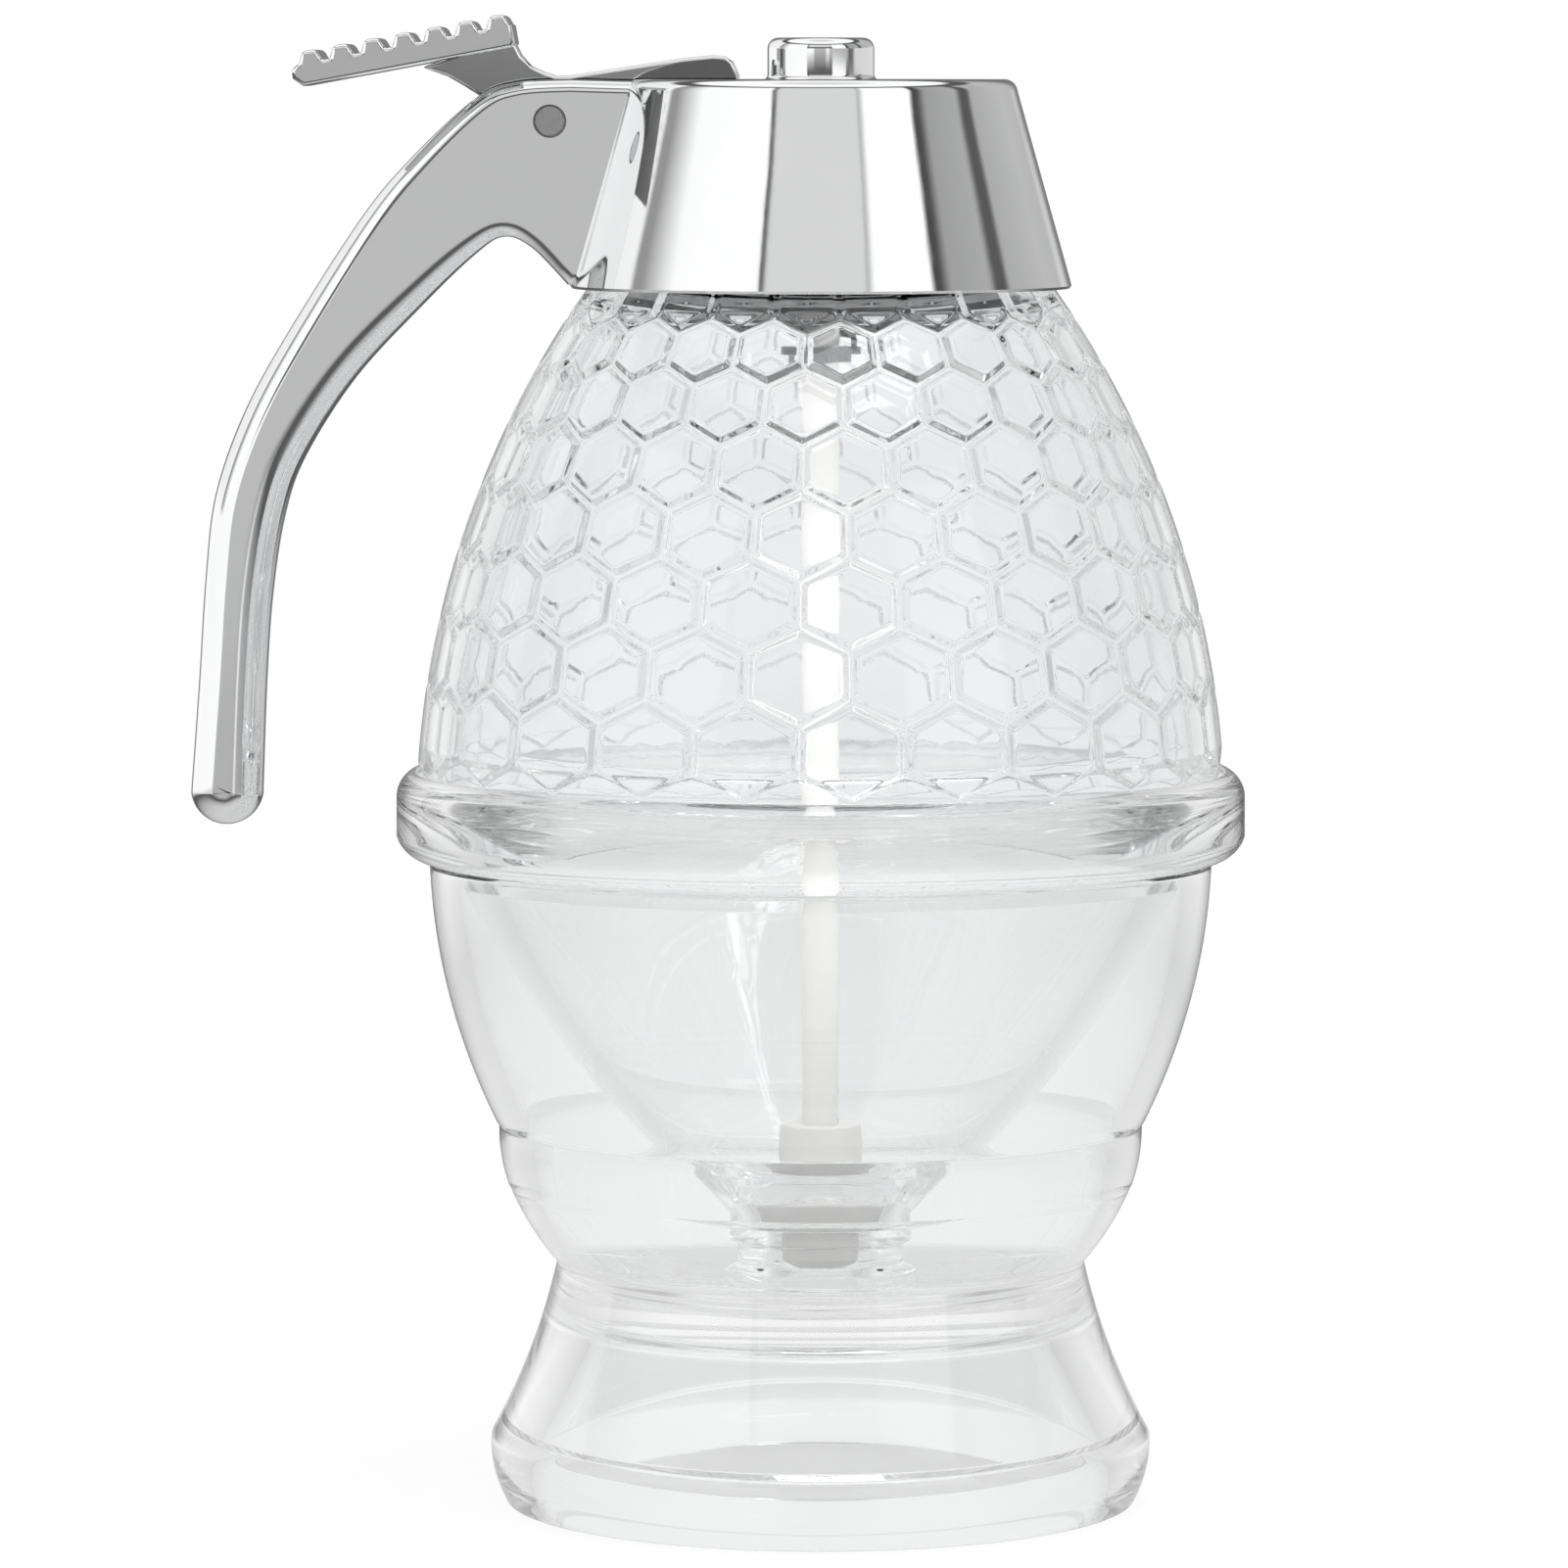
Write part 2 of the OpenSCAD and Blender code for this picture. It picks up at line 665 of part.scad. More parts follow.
// A cone with a hollow knob. A ledge inside carries the liner, and a slot lets the lever in.
module cap() {
    cavity = [
        [0, cap_z - 1],
        [hive_room + 0.2, cap_z - 1],
        [hive_room, cap_z],
        [cap_side(cap_z + 3.3) - cap_wall, cap_z + 3.3],
        [cap_side(liner_top) - cap_wall, liner_top],
        [liner_r - 1.4, liner_top],
        [cap_side(plate_under) - cap_wall - 1.3, plate_under],
        [0, plate_under],
    ];
    color("silver")
        difference() {
            revolve(cap_outside);
            revolve(cavity);
            cylinder(h = knob_top - knob_skin, r = head_bore_r, $fn = FINE);
            lever_slot();
        }
}

// The handle stands off the cap's side, and holds the lever's pin between two cheeks
module handle() {
    color("silver")
        difference() {
            handle_body();
            plate(root_cut, 2 * handle_t);
            lever_slot();
            pin_bore(pin_r);
        }
}

// ---- Thumb lever ----

// The pad's grip teeth, from its free end towards the cap, in the pad's own slope
module pad() {
    pitch = (pad_len - 1.6) / (teeth - 0.4);
    base = 3.7;
    teeth_line = [
        for (i = [0:teeth - 1], c = [
            [0.8 + pitch * (i + 0.12), base - tooth_h],
            [0.8 + pitch * (i + 0.36), base],
            [0.8 + pitch * (i + 0.6), base],
        ]) [c[0] - pad_len, c[1]]
    ];
    under = [
        [0, base - tooth_h],
        [0, 0.4],
        [-0.4, 0],
        [-pad_len + 1, 0],
        [-pad_len, 1],
        [-pad_len, base - tooth_h - 0.4],
    ];
    translate([pivot.x - 3.6, 0, pivot.y + 8])
        rotate([0, -pad_slope, 0])
            intersection() {
                plate(concat(under, teeth_line), pad_w);
                linear_extrude(height = 12, center = true) round_box(pad_len, pad_w, 3);
            }
}

module round_box(length, width, corner) {
    translate([-length + corner, -width / 2]) square([length - corner, width]);
    translate([-length, -width / 2 + corner]) square([length, width - 2 * corner]);
    for (side = [-1, 1])
        translate([-length + corner, side * (width / 2 - corner)]) circle(r = corner, $fn = 32);
}

// Web, arm and leg of the lever, round its pivot
arm_reach = -pivot.x;
leg_x = arm_reach - knob_r - 3;
LEVER_WEB = [
    [-13.9, 5.8], [-11.1, 4.8], [-9.2, 3.7], [-7.2, 2.4], [-3.4, 0],
];
module thumb_lever() {
    hub_r = 3.4;
    leg_w = 4;
    finger_low = -finger_drop - finger_t / 2;
    finger_high = -finger_drop + finger_t / 2;
    web = concat(
        LEVER_WEB,
        arc([-hub_r, 0], [0, -hub_r], hub_r, 5),
        [
            [2.4, -2.4],
            [4.4, 0.6],
            [leg_x - leg_w - 1, 2.6],
            [leg_x - leg_w, 1.4],
            [leg_x - leg_w, finger_low + 0.6],
            [leg_x - leg_w + 0.6, finger_low],
            [leg_x, finger_low],
            [leg_x, 4.9],
            [leg_x - 0.7, 6.4],
            [leg_x - 1.6, 7],
            [leg_x - 2.9, 7.1],
            [leg_x - 6, 6.8],
            [8, 5.8],
            [2.1, 4.9],
            [0.5, 4.9],
            [-0.7, 5.3],
            [-2, 5.9],
            [-3.1, 7.1],
            [-4.2, 9.3],
        ]
    );
    finger = concat(
        [[leg_x - 1, finger_low]],
        arc([arm_reach + 0.2, finger_low], [arm_reach + 0.2, finger_high], finger_t / 2, 6),
        [[leg_x - 1, finger_high]]
    );
    color("silver")
        difference() {
            union() {
                plate([for (p = web) pivot + p], lever_w);
                plate([for (p = finger) pivot + p], finger_w);
                pad();
            }
            pin_bore(pin_r + running_gap);
        }
}

module lever_pin() {
    tip = 0.3;
    color("gray")
        translate([pivot.x, 0, pivot.y])
            rotate([90, 0, 0])
                rotate_extrude($fn = 48)
                    polygon([
                        [0, -handle_t / 2],
                        [pin_r - tip, -handle_t / 2],
                        [pin_r, -handle_t / 2 + tip],
                        [pin_r, handle_t / 2 - tip],
                        [pin_r - tip, handle_t / 2],
                        [0, handle_t / 2],
                    ]);
}

// ---- Plunger ----

// The head that the lever's finger lifts: its eye is open towards the lever
module plunger_head() {
    eye_depth = 1.9;
    soft = 0.5;
    color("whitesmoke")
        difference() {
            revolve([
                [0, head_z],
                [head_r - soft, head_z],
                [head_r, head_z + soft],
                [head_r, head_top - soft],
                [head_r - soft, head_top],
                [0, head_top],
            ]);
            cylinder(h = rod_top, r = rod_r, $fn = FINE);
            translate([-2 * head_r, -eye_w / 2, finger_z - eye_below])
                cube([2 * head_r + eye_depth, eye_w, eye_below + eye_above]);
        }
}

module plunger_rod() {
    tip = 0.4;
    color("white")
        revolve([
            [0, rod_z],
            [rod_r, rod_z],
            [rod_r, rod_top - tip],
            [rod_r - tip, rod_top],
            [0, rod_top],
        ]);
}

module spring_washer() {
    color("silver")
        revolve([
            [rod_r, spring_z - washer_t],
            [washer_r, spring_z - washer_t],
            [washer_r, spring_z],
            [rod_r, spring_z],
        ]);
}

// An open ring that grips the rod under the washer
module rod_clip() {
    clip_r = rod_r + 1.5;
    clip_t = 0.8;
    gap_w = 2.4;
    color("dimgray")
        translate([0, 0, spring_z - washer_t - clip_t])
            difference() {
                cylinder(h = clip_t, r = clip_r, $fn = 48);
                translate([0, 0, -1]) cylinder(h = clip_t + 2, r = rod_r, $fn = 48);
                translate([0, -gap_w / 2, -1]) cube([clip_r + 1, gap_w, clip_t + 2]);
            }
}

// White stopper: a sleeve on the rod, a conical flange on the seat and a plug in the nozzle
module stopper() {
    plug_z = nozzle_z + 3.3;
    sleeve_h = 5.3;
    flange_top = seat_z + flange_h;
    sleeve_z = flange_top + 1.6;
    color("white")
        revolve(concat(
            arc([0, plug_z], [plug_r, plug_z + 1.9], 5.5, 5),
            [
                [plug_r, seat_z],
                [flange_r * 0.77, seat_z],
                [flange_r, flange_top - 0.5],
                [flange_r - 0.1, flange_top],
                [rod_r + 2.6, flange_top],
                [rod_r + 2.5, sleeve_z],
                [rod_r + 2.8, sleeve_z],
                [rod_r + 2.4, sleeve_z + sleeve_h],
                [rod_r, sleeve_z + sleeve_h],
                [rod_r, rod_z],
                [0, rod_z],
            ]
        ));
}

// ---- Return spring ----

SPRING_RINGS = 8;
SPRING_SIDES = 6;
wire_r = wire_d / 2;

// Ways along the wire: straight up off the washer, round the curls, straight up to the guide
coil_low = spring_z + wire_d + wire_r;
coil_high = spring_top - wire_d - wire_r;
curl_count = curls * SPRING_RINGS;
coil_path = [
    for (i = [0:curl_count])
        let (t = i / curl_count, a = 360 * curls * t)
        [coil_r * cos(a), coil_r * sin(a), coil_low + (coil_high - coil_low) * t]
];
spring_path = concat(
    [[coil_r, 0, spring_z], [coil_r, 0, spring_z + wire_d]],
    [for (i = [1:curl_count - 1]) coil_path[i]],
    [[coil_r, 0, spring_top - wire_d], [coil_r, 0, spring_top]]
);
spring_last = len(spring_path) - 1;
function spring_heading(i) =
    i <= 1 || i >= spring_last - 1 ? [0, 0, 1]
    : unit(spring_path[i + 1] - spring_path[i - 1]);
// Rings stand square to the wire, turned so that their first corner points away from the axis
function spring_ring(i) =
    let (
        p = spring_path[i],
        out = unit([p.x, p.y, 0]),
        h = spring_heading(i),
        side = unit(cross(h, out)),
        up = cross(side, h)
    )
    [for (s = [0:SPRING_SIDES - 1]) p + wire_r * (up * cos(60 * s) + side * sin(60 * s))];
spring_gap = min([
    for (i = [2:spring_last - 2], j = [i + 1:spring_last - 2])
        if (j - i > SPRING_RINGS / 2) norm(spring_path[i] - spring_path[j]) - wire_d
]);

module return_spring() {
    echo(least_gap_of_the_spring_to_itself_mm = spring_gap);
    points = [for (i = [0:spring_last], p = spring_ring(i)) p];
    sides = [
        for (i = [0:spring_last - 1], s = [0:SPRING_SIDES - 1],
            f = quad(
                i * SPRING_SIDES + s,
                (i + 1) * SPRING_SIDES + s,
                (i + 1) * SPRING_SIDES + (s + 1) % SPRING_SIDES,
                i * SPRING_SIDES + (s + 1) % SPRING_SIDES
            )) f
    ];
    color("silver")
        polyhedron(
            points = points,
            faces = concat(
                sides,
                [[for (s = [0:SPRING_SIDES - 1]) s]],
                [[for (s = [SPRING_SIDES - 1:-1:0]) spring_last * SPRING_SIDES + s]]
            )
        );
}

stand();
funnel_bowl();
hive_dome();
neck_gasket();
cap();
handle();
inner_cap();
thumb_lever();
lever_pin();
plunger_head();
plunger_rod();
return_spring();
spring_washer();
rod_clip();
stopper();
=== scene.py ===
"""Beehive honey dispenser on its clear stand. Metres, +Z up, the handle to -X."""
import math

import bmesh
import bpy
import numpy as np
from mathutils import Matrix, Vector


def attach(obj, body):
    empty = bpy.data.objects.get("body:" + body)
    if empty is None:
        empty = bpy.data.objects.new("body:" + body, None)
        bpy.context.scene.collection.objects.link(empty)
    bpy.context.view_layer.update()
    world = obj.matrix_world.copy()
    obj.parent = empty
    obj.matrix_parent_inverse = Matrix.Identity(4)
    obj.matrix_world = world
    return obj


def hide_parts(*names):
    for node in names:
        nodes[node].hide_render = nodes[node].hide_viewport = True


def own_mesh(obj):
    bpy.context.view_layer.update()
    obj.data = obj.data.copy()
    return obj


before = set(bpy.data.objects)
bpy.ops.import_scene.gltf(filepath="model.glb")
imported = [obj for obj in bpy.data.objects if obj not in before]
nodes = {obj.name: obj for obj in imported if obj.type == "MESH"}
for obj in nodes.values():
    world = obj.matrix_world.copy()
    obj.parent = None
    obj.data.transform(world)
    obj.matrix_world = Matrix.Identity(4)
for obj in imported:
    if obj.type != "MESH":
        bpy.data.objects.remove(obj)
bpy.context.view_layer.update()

MM = 0.001
PI = math.pi

# ---- Camera: a long lens, a little above the cap, looking down by five degrees ----

PHOTO_SIDE, FOCAL_LENGTH = 1601, 8562  # in pixels
SENSOR = 36
CAMERA_AT = (-4.0, -913, 156.6)
LOOKS_DOWN = 4.873

scene = bpy.context.scene
cam_data = bpy.data.cameras.new("camera")
cam = bpy.data.objects.new("camera", cam_data)
scene.collection.objects.link(cam)
scene.camera = cam
cam_data.sensor_width = SENSOR
cam_data.lens = SENSOR * FOCAL_LENGTH / PHOTO_SIDE
cam_data.clip_end = 20
cam.location = [c * MM for c in CAMERA_AT]
cam.rotation_euler = (PI / 2 - math.radians(LOOKS_DOWN), 0, 0)


# ---- Materials ----

def material(name):
    m = bpy.data.materials.new(name)
    m.use_nodes = True
    nt = m.node_tree
    return m, nt, nt.nodes["Principled BSDF"]


def place(nt, scale=(1, 1, 1)):
    """The object's own coordinates in millimetres."""
    tc = nt.nodes.new("ShaderNodeTexCoord")
    mp = nt.nodes.new("ShaderNodeMapping")
    mp.inputs["Scale"].default_value = [1000 * s for s in scale]
    nt.links.new(tc.outputs["Object"], mp.inputs["Vector"])
    return mp.outputs["Vector"]


def noise(nt, vector, scale, detail=3.0, rough=0.5):
    n = nt.nodes.new("ShaderNodeTexNoise")
    n.inputs["Scale"].default_value = scale
    n.inputs["Detail"].default_value = detail
    n.inputs["Roughness"].default_value = rough
    nt.links.new(vector, n.inputs["Vector"])
    return n.outputs["Fac"]


def spread(nt, value, low, high, start=0.3, end=0.7):
    """A noise value spread between low and high."""
    r = nt.nodes.new("ShaderNodeMapRange")
    r.inputs["From Min"].default_value = start
    r.inputs["From Max"].default_value = end
    r.inputs["To Min"].default_value = low
    r.inputs["To Max"].default_value = high
    nt.links.new(value, r.inputs["Value"])
    return r.outputs["Result"]


def tint(nt, value, dark, light):
    """A noise value as a colour between two."""
    mix = nt.nodes.new("ShaderNodeMix")
    mix.data_type = "RGBA"
    mix.inputs["A"].default_value = (*dark, 1)
    mix.inputs["B"].default_value = (*light, 1)
    nt.links.new(value, mix.inputs["Factor"])
    return mix.outputs["Result"]


def bump(nt, height, distance, onto=None):
    """Relief of a distance in millimetres, laid onto an earlier relief if there is one."""
    b = nt.nodes.new("ShaderNodeBump")
    b.inputs["Distance"].default_value = distance * MM
    b.inputs["Strength"].default_value = 1
    nt.links.new(height, b.inputs["Height"])
    if onto is not None:
        nt.links.new(onto, b.inputs["Normal"])
    return b.outputs["Normal"]


def clear_plastic(name, colour, haze, wave, wave_scale):
    """Clear moulded plastic: a slow waviness from the mould, and a little haze here and there."""
    m, nt, p = material(name)
    v = place(nt)
    p.inputs["Base Color"].default_value = (*colour, 1)
    p.inputs["Transmission Weight"].default_value = 1
    p.inputs["IOR"].default_value = 1.49
    nt.links.new(spread(nt, noise(nt, v, 0.09, 4), *haze), p.inputs["Roughness"])
    nt.links.new(bump(nt, noise(nt, v, wave_scale, 2), wave), p.inputs["Normal"])
    return m


def chrome():
    """Chromed plastic: a hard mirror with the faint sink and flow marks of the moulding under it."""
    m, nt, p = material("chrome")
    v = place(nt)
    p.inputs["Metallic"].default_value = 1
    cloud = noise(nt, v, 0.12, 3)
    nt.links.new(tint(nt, cloud, (0.79, 0.795, 0.8), (0.83, 0.83, 0.832)), p.inputs["Base Color"])
    nt.links.new(spread(nt, noise(nt, v, 0.5, 4), 0.03, 0.07), p.inputs["Roughness"])
    slow = bump(nt, noise(nt, v, 0.05, 1), 0.12)
    nt.links.new(bump(nt, noise(nt, v, 0.35, 2), 0.004, onto=slow), p.inputs["Normal"])
    return m


def satin(name, dark, light, rough):
    """Moulded satin plastic: a fine grain and uneven gloss."""
    m, nt, p = material(name)
    v = place(nt)
    nt.links.new(tint(nt, noise(nt, v, 0.15, 3), dark, light), p.inputs["Base Color"])
    nt.links.new(spread(nt, noise(nt, v, 0.8, 4), rough - 0.07, rough + 0.07), p.inputs["Roughness"])
    nt.links.new(bump(nt, noise(nt, v, 2.5, 3), 0.01), p.inputs["Normal"])
    return m


def steel(name, dark, light, scale, rough):
    """Turned or drawn steel: streaks along one direction, in colour, gloss and relief."""
    m, nt, p = material(name)
    v = place(nt, scale)
    p.inputs["Metallic"].default_value = 1
    streaks = noise(nt, v, 1.0, 5, 0.6)
    nt.links.new(tint(nt, streaks, dark, light), p.inputs["Base Color"])
    nt.links.new(spread(nt, streaks, rough - 0.08, rough + 0.1), p.inputs["Roughness"])
    nt.links.new(bump(nt, streaks, 0.02), p.inputs["Normal"])
    return m


CLEAR_STAND = clear_plastic("clear_stand", (0.99, 0.994, 0.995), (0.0, 0.03), 0.05, 0.04)
CLEAR_HIVE = clear_plastic("clear_hive", (0.968, 0.974, 0.98), (0.01, 0.05), 0.03, 0.1)
CHROME = chrome()
WHITE = satin("white_plastic", (0.84, 0.835, 0.81), (0.88, 0.875, 0.855), 0.35)
GASKET = satin("gasket", (0.74, 0.74, 0.72), (0.8, 0.8, 0.79), 0.6)
LINER = satin("liner", (0.42, 0.42, 0.425), (0.5, 0.5, 0.505), 0.45)
PIN_STEEL = steel("pin_steel", (0.42, 0.42, 0.43), (0.62, 0.62, 0.63), (1.2, 1.2, 9), 0.3)
SPRING_STEEL = steel("spring_steel", (0.2, 0.2, 0.21), (0.36, 0.36, 0.37), (4, 4, 0.6), 0.3)


# ---- Making pieces ----

def piece(name, verts, faces, body, slot, mat, stands_for=(), angle=32):
    """A mesh in millimetres made into a piece that rides on a body."""
    me = bpy.data.meshes.new(name)
    me.from_pydata([tuple(c * MM for c in v) for v in verts], [], faces)
    me.validate()
    return dress(name, me, body, mat, stands_for, angle)


def dress(name, me, body, mat, stands_for=(), angle=32, flat=None):
    """A mesh cleaned and made into a piece that rides on a body. Faces over flat mm2 are shaded flat."""
    bm = bmesh.new()
    bm.from_mesh(me)
    bmesh.ops.remove_doubles(bm, verts=bm.verts, dist=1e-7)
    bmesh.ops.recalc_face_normals(bm, faces=bm.faces)
    bm.to_mesh(me)
    bm.free()
    me.shade_smooth()
    me.set_sharp_from_angle(angle=math.radians(angle))
    if flat:
        for face in me.polygons:
            face.use_smooth = face.area < flat * MM * MM
    me.materials.clear()
    me.materials.append(mat)
    ob = bpy.data.objects.new(name, me)
    scene.collection.objects.link(ob)
    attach(ob, body)
    if stands_for:
        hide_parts(*stands_for)
    return ob


def arc(a, b, r, n=16):
    """Points of an arc from a to b with radius r, its centre on the left for r > 0, else on the right."""
    dx, dy = b[0] - a[0], b[1] - a[1]
    c = math.hypot(dx, dy)
    rr = max(abs(r), c / 2 + 0.001)
    k = math.sqrt(rr * rr - c * c / 4) / c * (1 if r > 0 else -1)
    ox, oy = (a[0] + b[0]) / 2 - dy * k, (a[1] + b[1]) / 2 + dx * k
    a0 = math.atan2(a[1] - oy, a[0] - ox)
    turn = (math.atan2(b[1] - oy, b[0] - ox) - a0 + PI) % (2 * PI) - PI
    angles = [a0 + turn * i / n for i in range(n + 1)]
    return [(ox + rr * math.cos(t), oy + rr * math.sin(t)) for t in angles]


def through(p, n=6):
    """A smooth curve through the points p, with n steps from each to the next."""
    out = []
    for i in range(len(p) - 1):
        q = [np.array(p[k]) for k in (max(i - 1, 0), i, i + 1, min(i + 2, len(p) - 1))]
        for s in range(n):
            t = s / n
            out.append(tuple((2 * q[1] + (q[2] - q[0]) * t + (2 * q[0] - 5 * q[1] + 4 * q[2] - q[3]) * t * t
                              + (3 * q[1] - q[0] - 3 * q[2] + q[3]) * t ** 3) / 2))
    return out + [tuple(p[-1])]


def soften(profile, radius, sharp=25, steps=4):
    """A closed profile with its corners of more than sharp degrees rounded off by about radius."""
    out, n = [], len(profile)
    for i in range(n):
        a, b, c = (np.array(profile[(i + k) % n], float) for k in (-1, 0, 1))
        d0, d1 = b - a, c - b
        l0, l1 = np.hypot(*d0), np.hypot(*d1)
        if l0 < 1e-6 or l1 < 1e-6:
            continue
        bend = math.degrees(math.acos(max(-1, min(1, float(d0 @ d1) / l0 / l1))))
        if bend < sharp or min(abs(a[0]), abs(b[0]), abs(c[0])) < 1e-6 and abs(b[0]) < 1e-6:
            out.append(tuple(b))
            continue
        cut = min(radius * math.tan(math.radians(bend) / 2), 0.45 * l0, 0.45 * l1)
        p0, p1 = b - d0 / l0 * cut, b + d1 / l1 * cut
        for s in range(steps + 1):
            t = s / steps
            out.append(tuple((1 - t) ** 2 * p0 + 2 * t * (1 - t) * b + t * t * p1))
    return out


def lathe(profile, steps=192):
    """The closed profile turned round the z axis."""
    verts, rows = [], []
    for r, z in profile:
        if r < 1e-6:
            rows.append([len(verts)] * steps)
            verts.append((0, 0, z))
        else:
            rows.append(list(range(len(verts), len(verts) + steps)))
            for m in range(steps):
                a = 2 * PI * m / steps
                verts.append((r * math.cos(a), r * math.sin(a), z))
    faces = []
    n = len(profile)
    for j in range(n):
        p, q = rows[j], rows[(j + 1) % n]
        for m in range(steps):
            k = (m + 1) % steps
            f = [p[m], p[k], q[k], q[m]]
            f = [v for i, v in enumerate(f) if v not in f[:i]]
            if len(f) > 2:
                faces.append(f)
    return verts, faces


def temp(verts, faces):
    """A mesh in millimetres as an object to cut or join with."""
    me = bpy.data.meshes.new("tool")
    me.from_pydata([tuple(c * MM for c in v) for v in verts], [], faces)
    bm = bmesh.new()
    bm.from_mesh(me)
    bmesh.ops.remove_doubles(bm, verts=bm.verts, dist=1e-7)
    bmesh.ops.recalc_face_normals(bm, faces=bm.faces)
    bm.to_mesh(me)
    bm.free()
    ob = bpy.data.objects.new("tool", me)
    scene.collection.objects.link(ob)
    return ob


def finished(ob, name):
    """The object's mesh with its modifiers applied. The object goes."""
    me = bpy.data.meshes.new_from_object(ob.evaluated_get(bpy.context.evaluated_depsgraph_get()))
    me.name = name
    bpy.data.objects.remove(ob)
    return me


def discard(*tools):
    for tool in tools:
        bpy.data.objects.remove(tool)


def boolean(ob, *tools, operation="DIFFERENCE"):
    for t in tools:
        mod = ob.modifiers.new("cut", "BOOLEAN")
        mod.operation = operation
        mod.solver = "EXACT"
        mod.object = t


def slab(outline, low, high):
    """An outline in the x-z plane made thick from y = low to y = high."""
    n = len(outline)
    verts = [(x, low, z) for x, z in outline] + [(x, high, z) for x, z in outline]
    faces = [list(range(n)), list(range(2 * n - 1, n - 1, -1))]
    faces += [[i, (i + 1) % n, n + (i + 1) % n, n + i] for i in range(n)]
    return verts, faces


def tapered(outline, half):
    """An outline in the x-z plane made thick to both sides, by half(x, z)."""
    verts, faces = slab(outline, -1, 1)
    return [(x, y * half(x, z), z) for x, y, z in verts], faces


# ---- Sizes shared with the model, in millimetres ----

FLOOR_TOP, FLOOR_UNDER = 22.4, 19.8
RIM_R, RIM_Z = 42.7, 70.7
COLLAR_TOP, COLLAR_R = 80.4, 46.3
HIVE_Z, HIVE_BASE_R, HIVE_WALL = 78.6, 44.1, 2.6
SHOULDER_Z, NECK_TOP, NECK_R, NECK_IN = 134.6, 139.4, 19.8, 17.4
CAP_Z, CAP_TOP, CAP_R, CAP_TOP_R = 132.0, 155.5, 27.6, 21.0
KNOB_R, KNOB_TOP = 5.8, 160.0
PIVOT = (-29.3, 151.0)
NOZZLE_Z, SEAT_Z = 23.4, 32.2
ROD_R, ROD_FOOT = 2.0, 33.5
SPRING_Z = (126.1, 138.4)
# A hair's breadth between clear pieces that rest on each other
HAIR = 0.04

# ---- Stand ----

stand_profile = (
    arc((34.4, 0), (36.2, 6.7), 13.4, 10)
    + arc((36.1, 7.5), (28.9, 26.4), -71.7, 30)
    + arc((29.1, 26.8), (34.1, 35), 30, 10)
    + arc((34.2, 35.1), (35.2, 41.6), 18.2, 10)
    + arc((35.5, 42.0), (RIM_R, 70.2), 69.4, 24)
    + [(42.2, RIM_Z - HAIR), (40.0, RIM_Z - HAIR)]
    + arc((39.5, 70.2), (32.0, 41.6), -66.2, 24)
    + arc((31.9, 41.0), (24.5, 25.0), -24, 16)
    + arc((24.1, 24.5), (20.9, FLOOR_TOP), -4, 6)
    + [(0, FLOOR_TOP), (0, FLOOR_UNDER)]
    + arc((22.7, FLOOR_UNDER), (25.2, 17.3), -2.5, 6)
    + [(30.3, 6.9), (31.2, 6.5), (31.5, 0)]
)
piece("clear_stand", *lathe(soften(stand_profile, 0.4)), "stand", "clear_stand", CLEAR_STAND, ("stand",))

# ---- Funnel bowl with its collar and nozzle ----

funnel_profile = (
    [(4.85, NOZZLE_Z), (10.0, NOZZLE_Z), (10.4, 23.8), (10.4, 27.1), (10.0, 27.5), (9.0, 27.9), (9.0, 30.2),
     (9.9, 30.6), (9.9, 32.4), (15.7, 36.8), (15.7, 37.3)]
    + arc((16.7, 38.1), (39.2, 68.7), 100.2, 30)
    + [(39.2, RIM_Z), (43.0, RIM_Z)]
    + arc((43.2, RIM_Z + 0.1), (COLLAR_R, 73.3), 3.6, 8)
    + arc((COLLAR_R, 77.8), (44.55, COLLAR_TOP), 3.2, 8)
    + [(44.25, COLLAR_TOP), (44.25, HIVE_Z - HAIR), (41.5, HIVE_Z - HAIR)]
    + arc((37.7, 74.0), (14.6, 39.6), -97.6, 30)
    + [(7.3, 36.2), (5.69, SEAT_Z), (4.25, SEAT_Z), (4.25, 24.0)]
)
piece("funnel", *lathe(soften(funnel_profile, 0.35)), "dispenser", "clear_hive", CLEAR_STAND,
      ("funnel_bowl",))

# ---- Hive: a honeycomb of 24 cells a row on a curved side ----

CELLS = 24
SIDE_R = 102.0
SIDE_C = (-57.8, 73.9)
HALF = PI / CELLS
PHASE = math.radians(-3.4)
LEAN0 = math.asin((HIVE_Z - SIDE_C[1]) / SIDE_R)
DEPTH = 0.55


def arc_len(z):
    return SIDE_R * (math.asin((z - SIDE_C[1]) / SIDE_R) - LEAN0)


def on_side(angle, u, depth):
    t = LEAN0 + u / SIDE_R
    r = SIDE_C[0] + (SIDE_R - depth) * math.cos(t)
    return (r * math.cos(angle), r * math.sin(angle), SIDE_C[1] + (SIDE_R - depth) * math.sin(t))


def half_cell(u):
    t = LEAN0 + u / SIDE_R
    return (SIDE_C[0] + SIDE_R * math.cos(t)) * HALF


FULL_ROWS = 8
LEDGE_Z = 83.2
LOW_U, TOP_U = arc_len(79.3), arc_len(134.0)
rows_u = [0.225]
for k in range(FULL_ROWS + 1):
    rows_u.append(rows_u[-1] + min(7.5, math.sqrt(3) * half_cell(rows_u[-1] + 7.5)))
# The lowest row reaches down to the collar
rows_u[:2] = [-0.9, 6.9]

# Rings of a cell from its outline in: how far in, and how deep. Panes stand proud, outlines are grooves
RISE = [(0, DEPTH), (0.14, DEPTH), (0.2, 0.54), (0.27, 0.51), (0.36, 0.43), (0.62, 0.15), (0.71, 0.07),
        (0.8, 0.03), (0.92, 0.005), (1.2, 0), (2.1, 0), (3.2, 0)]
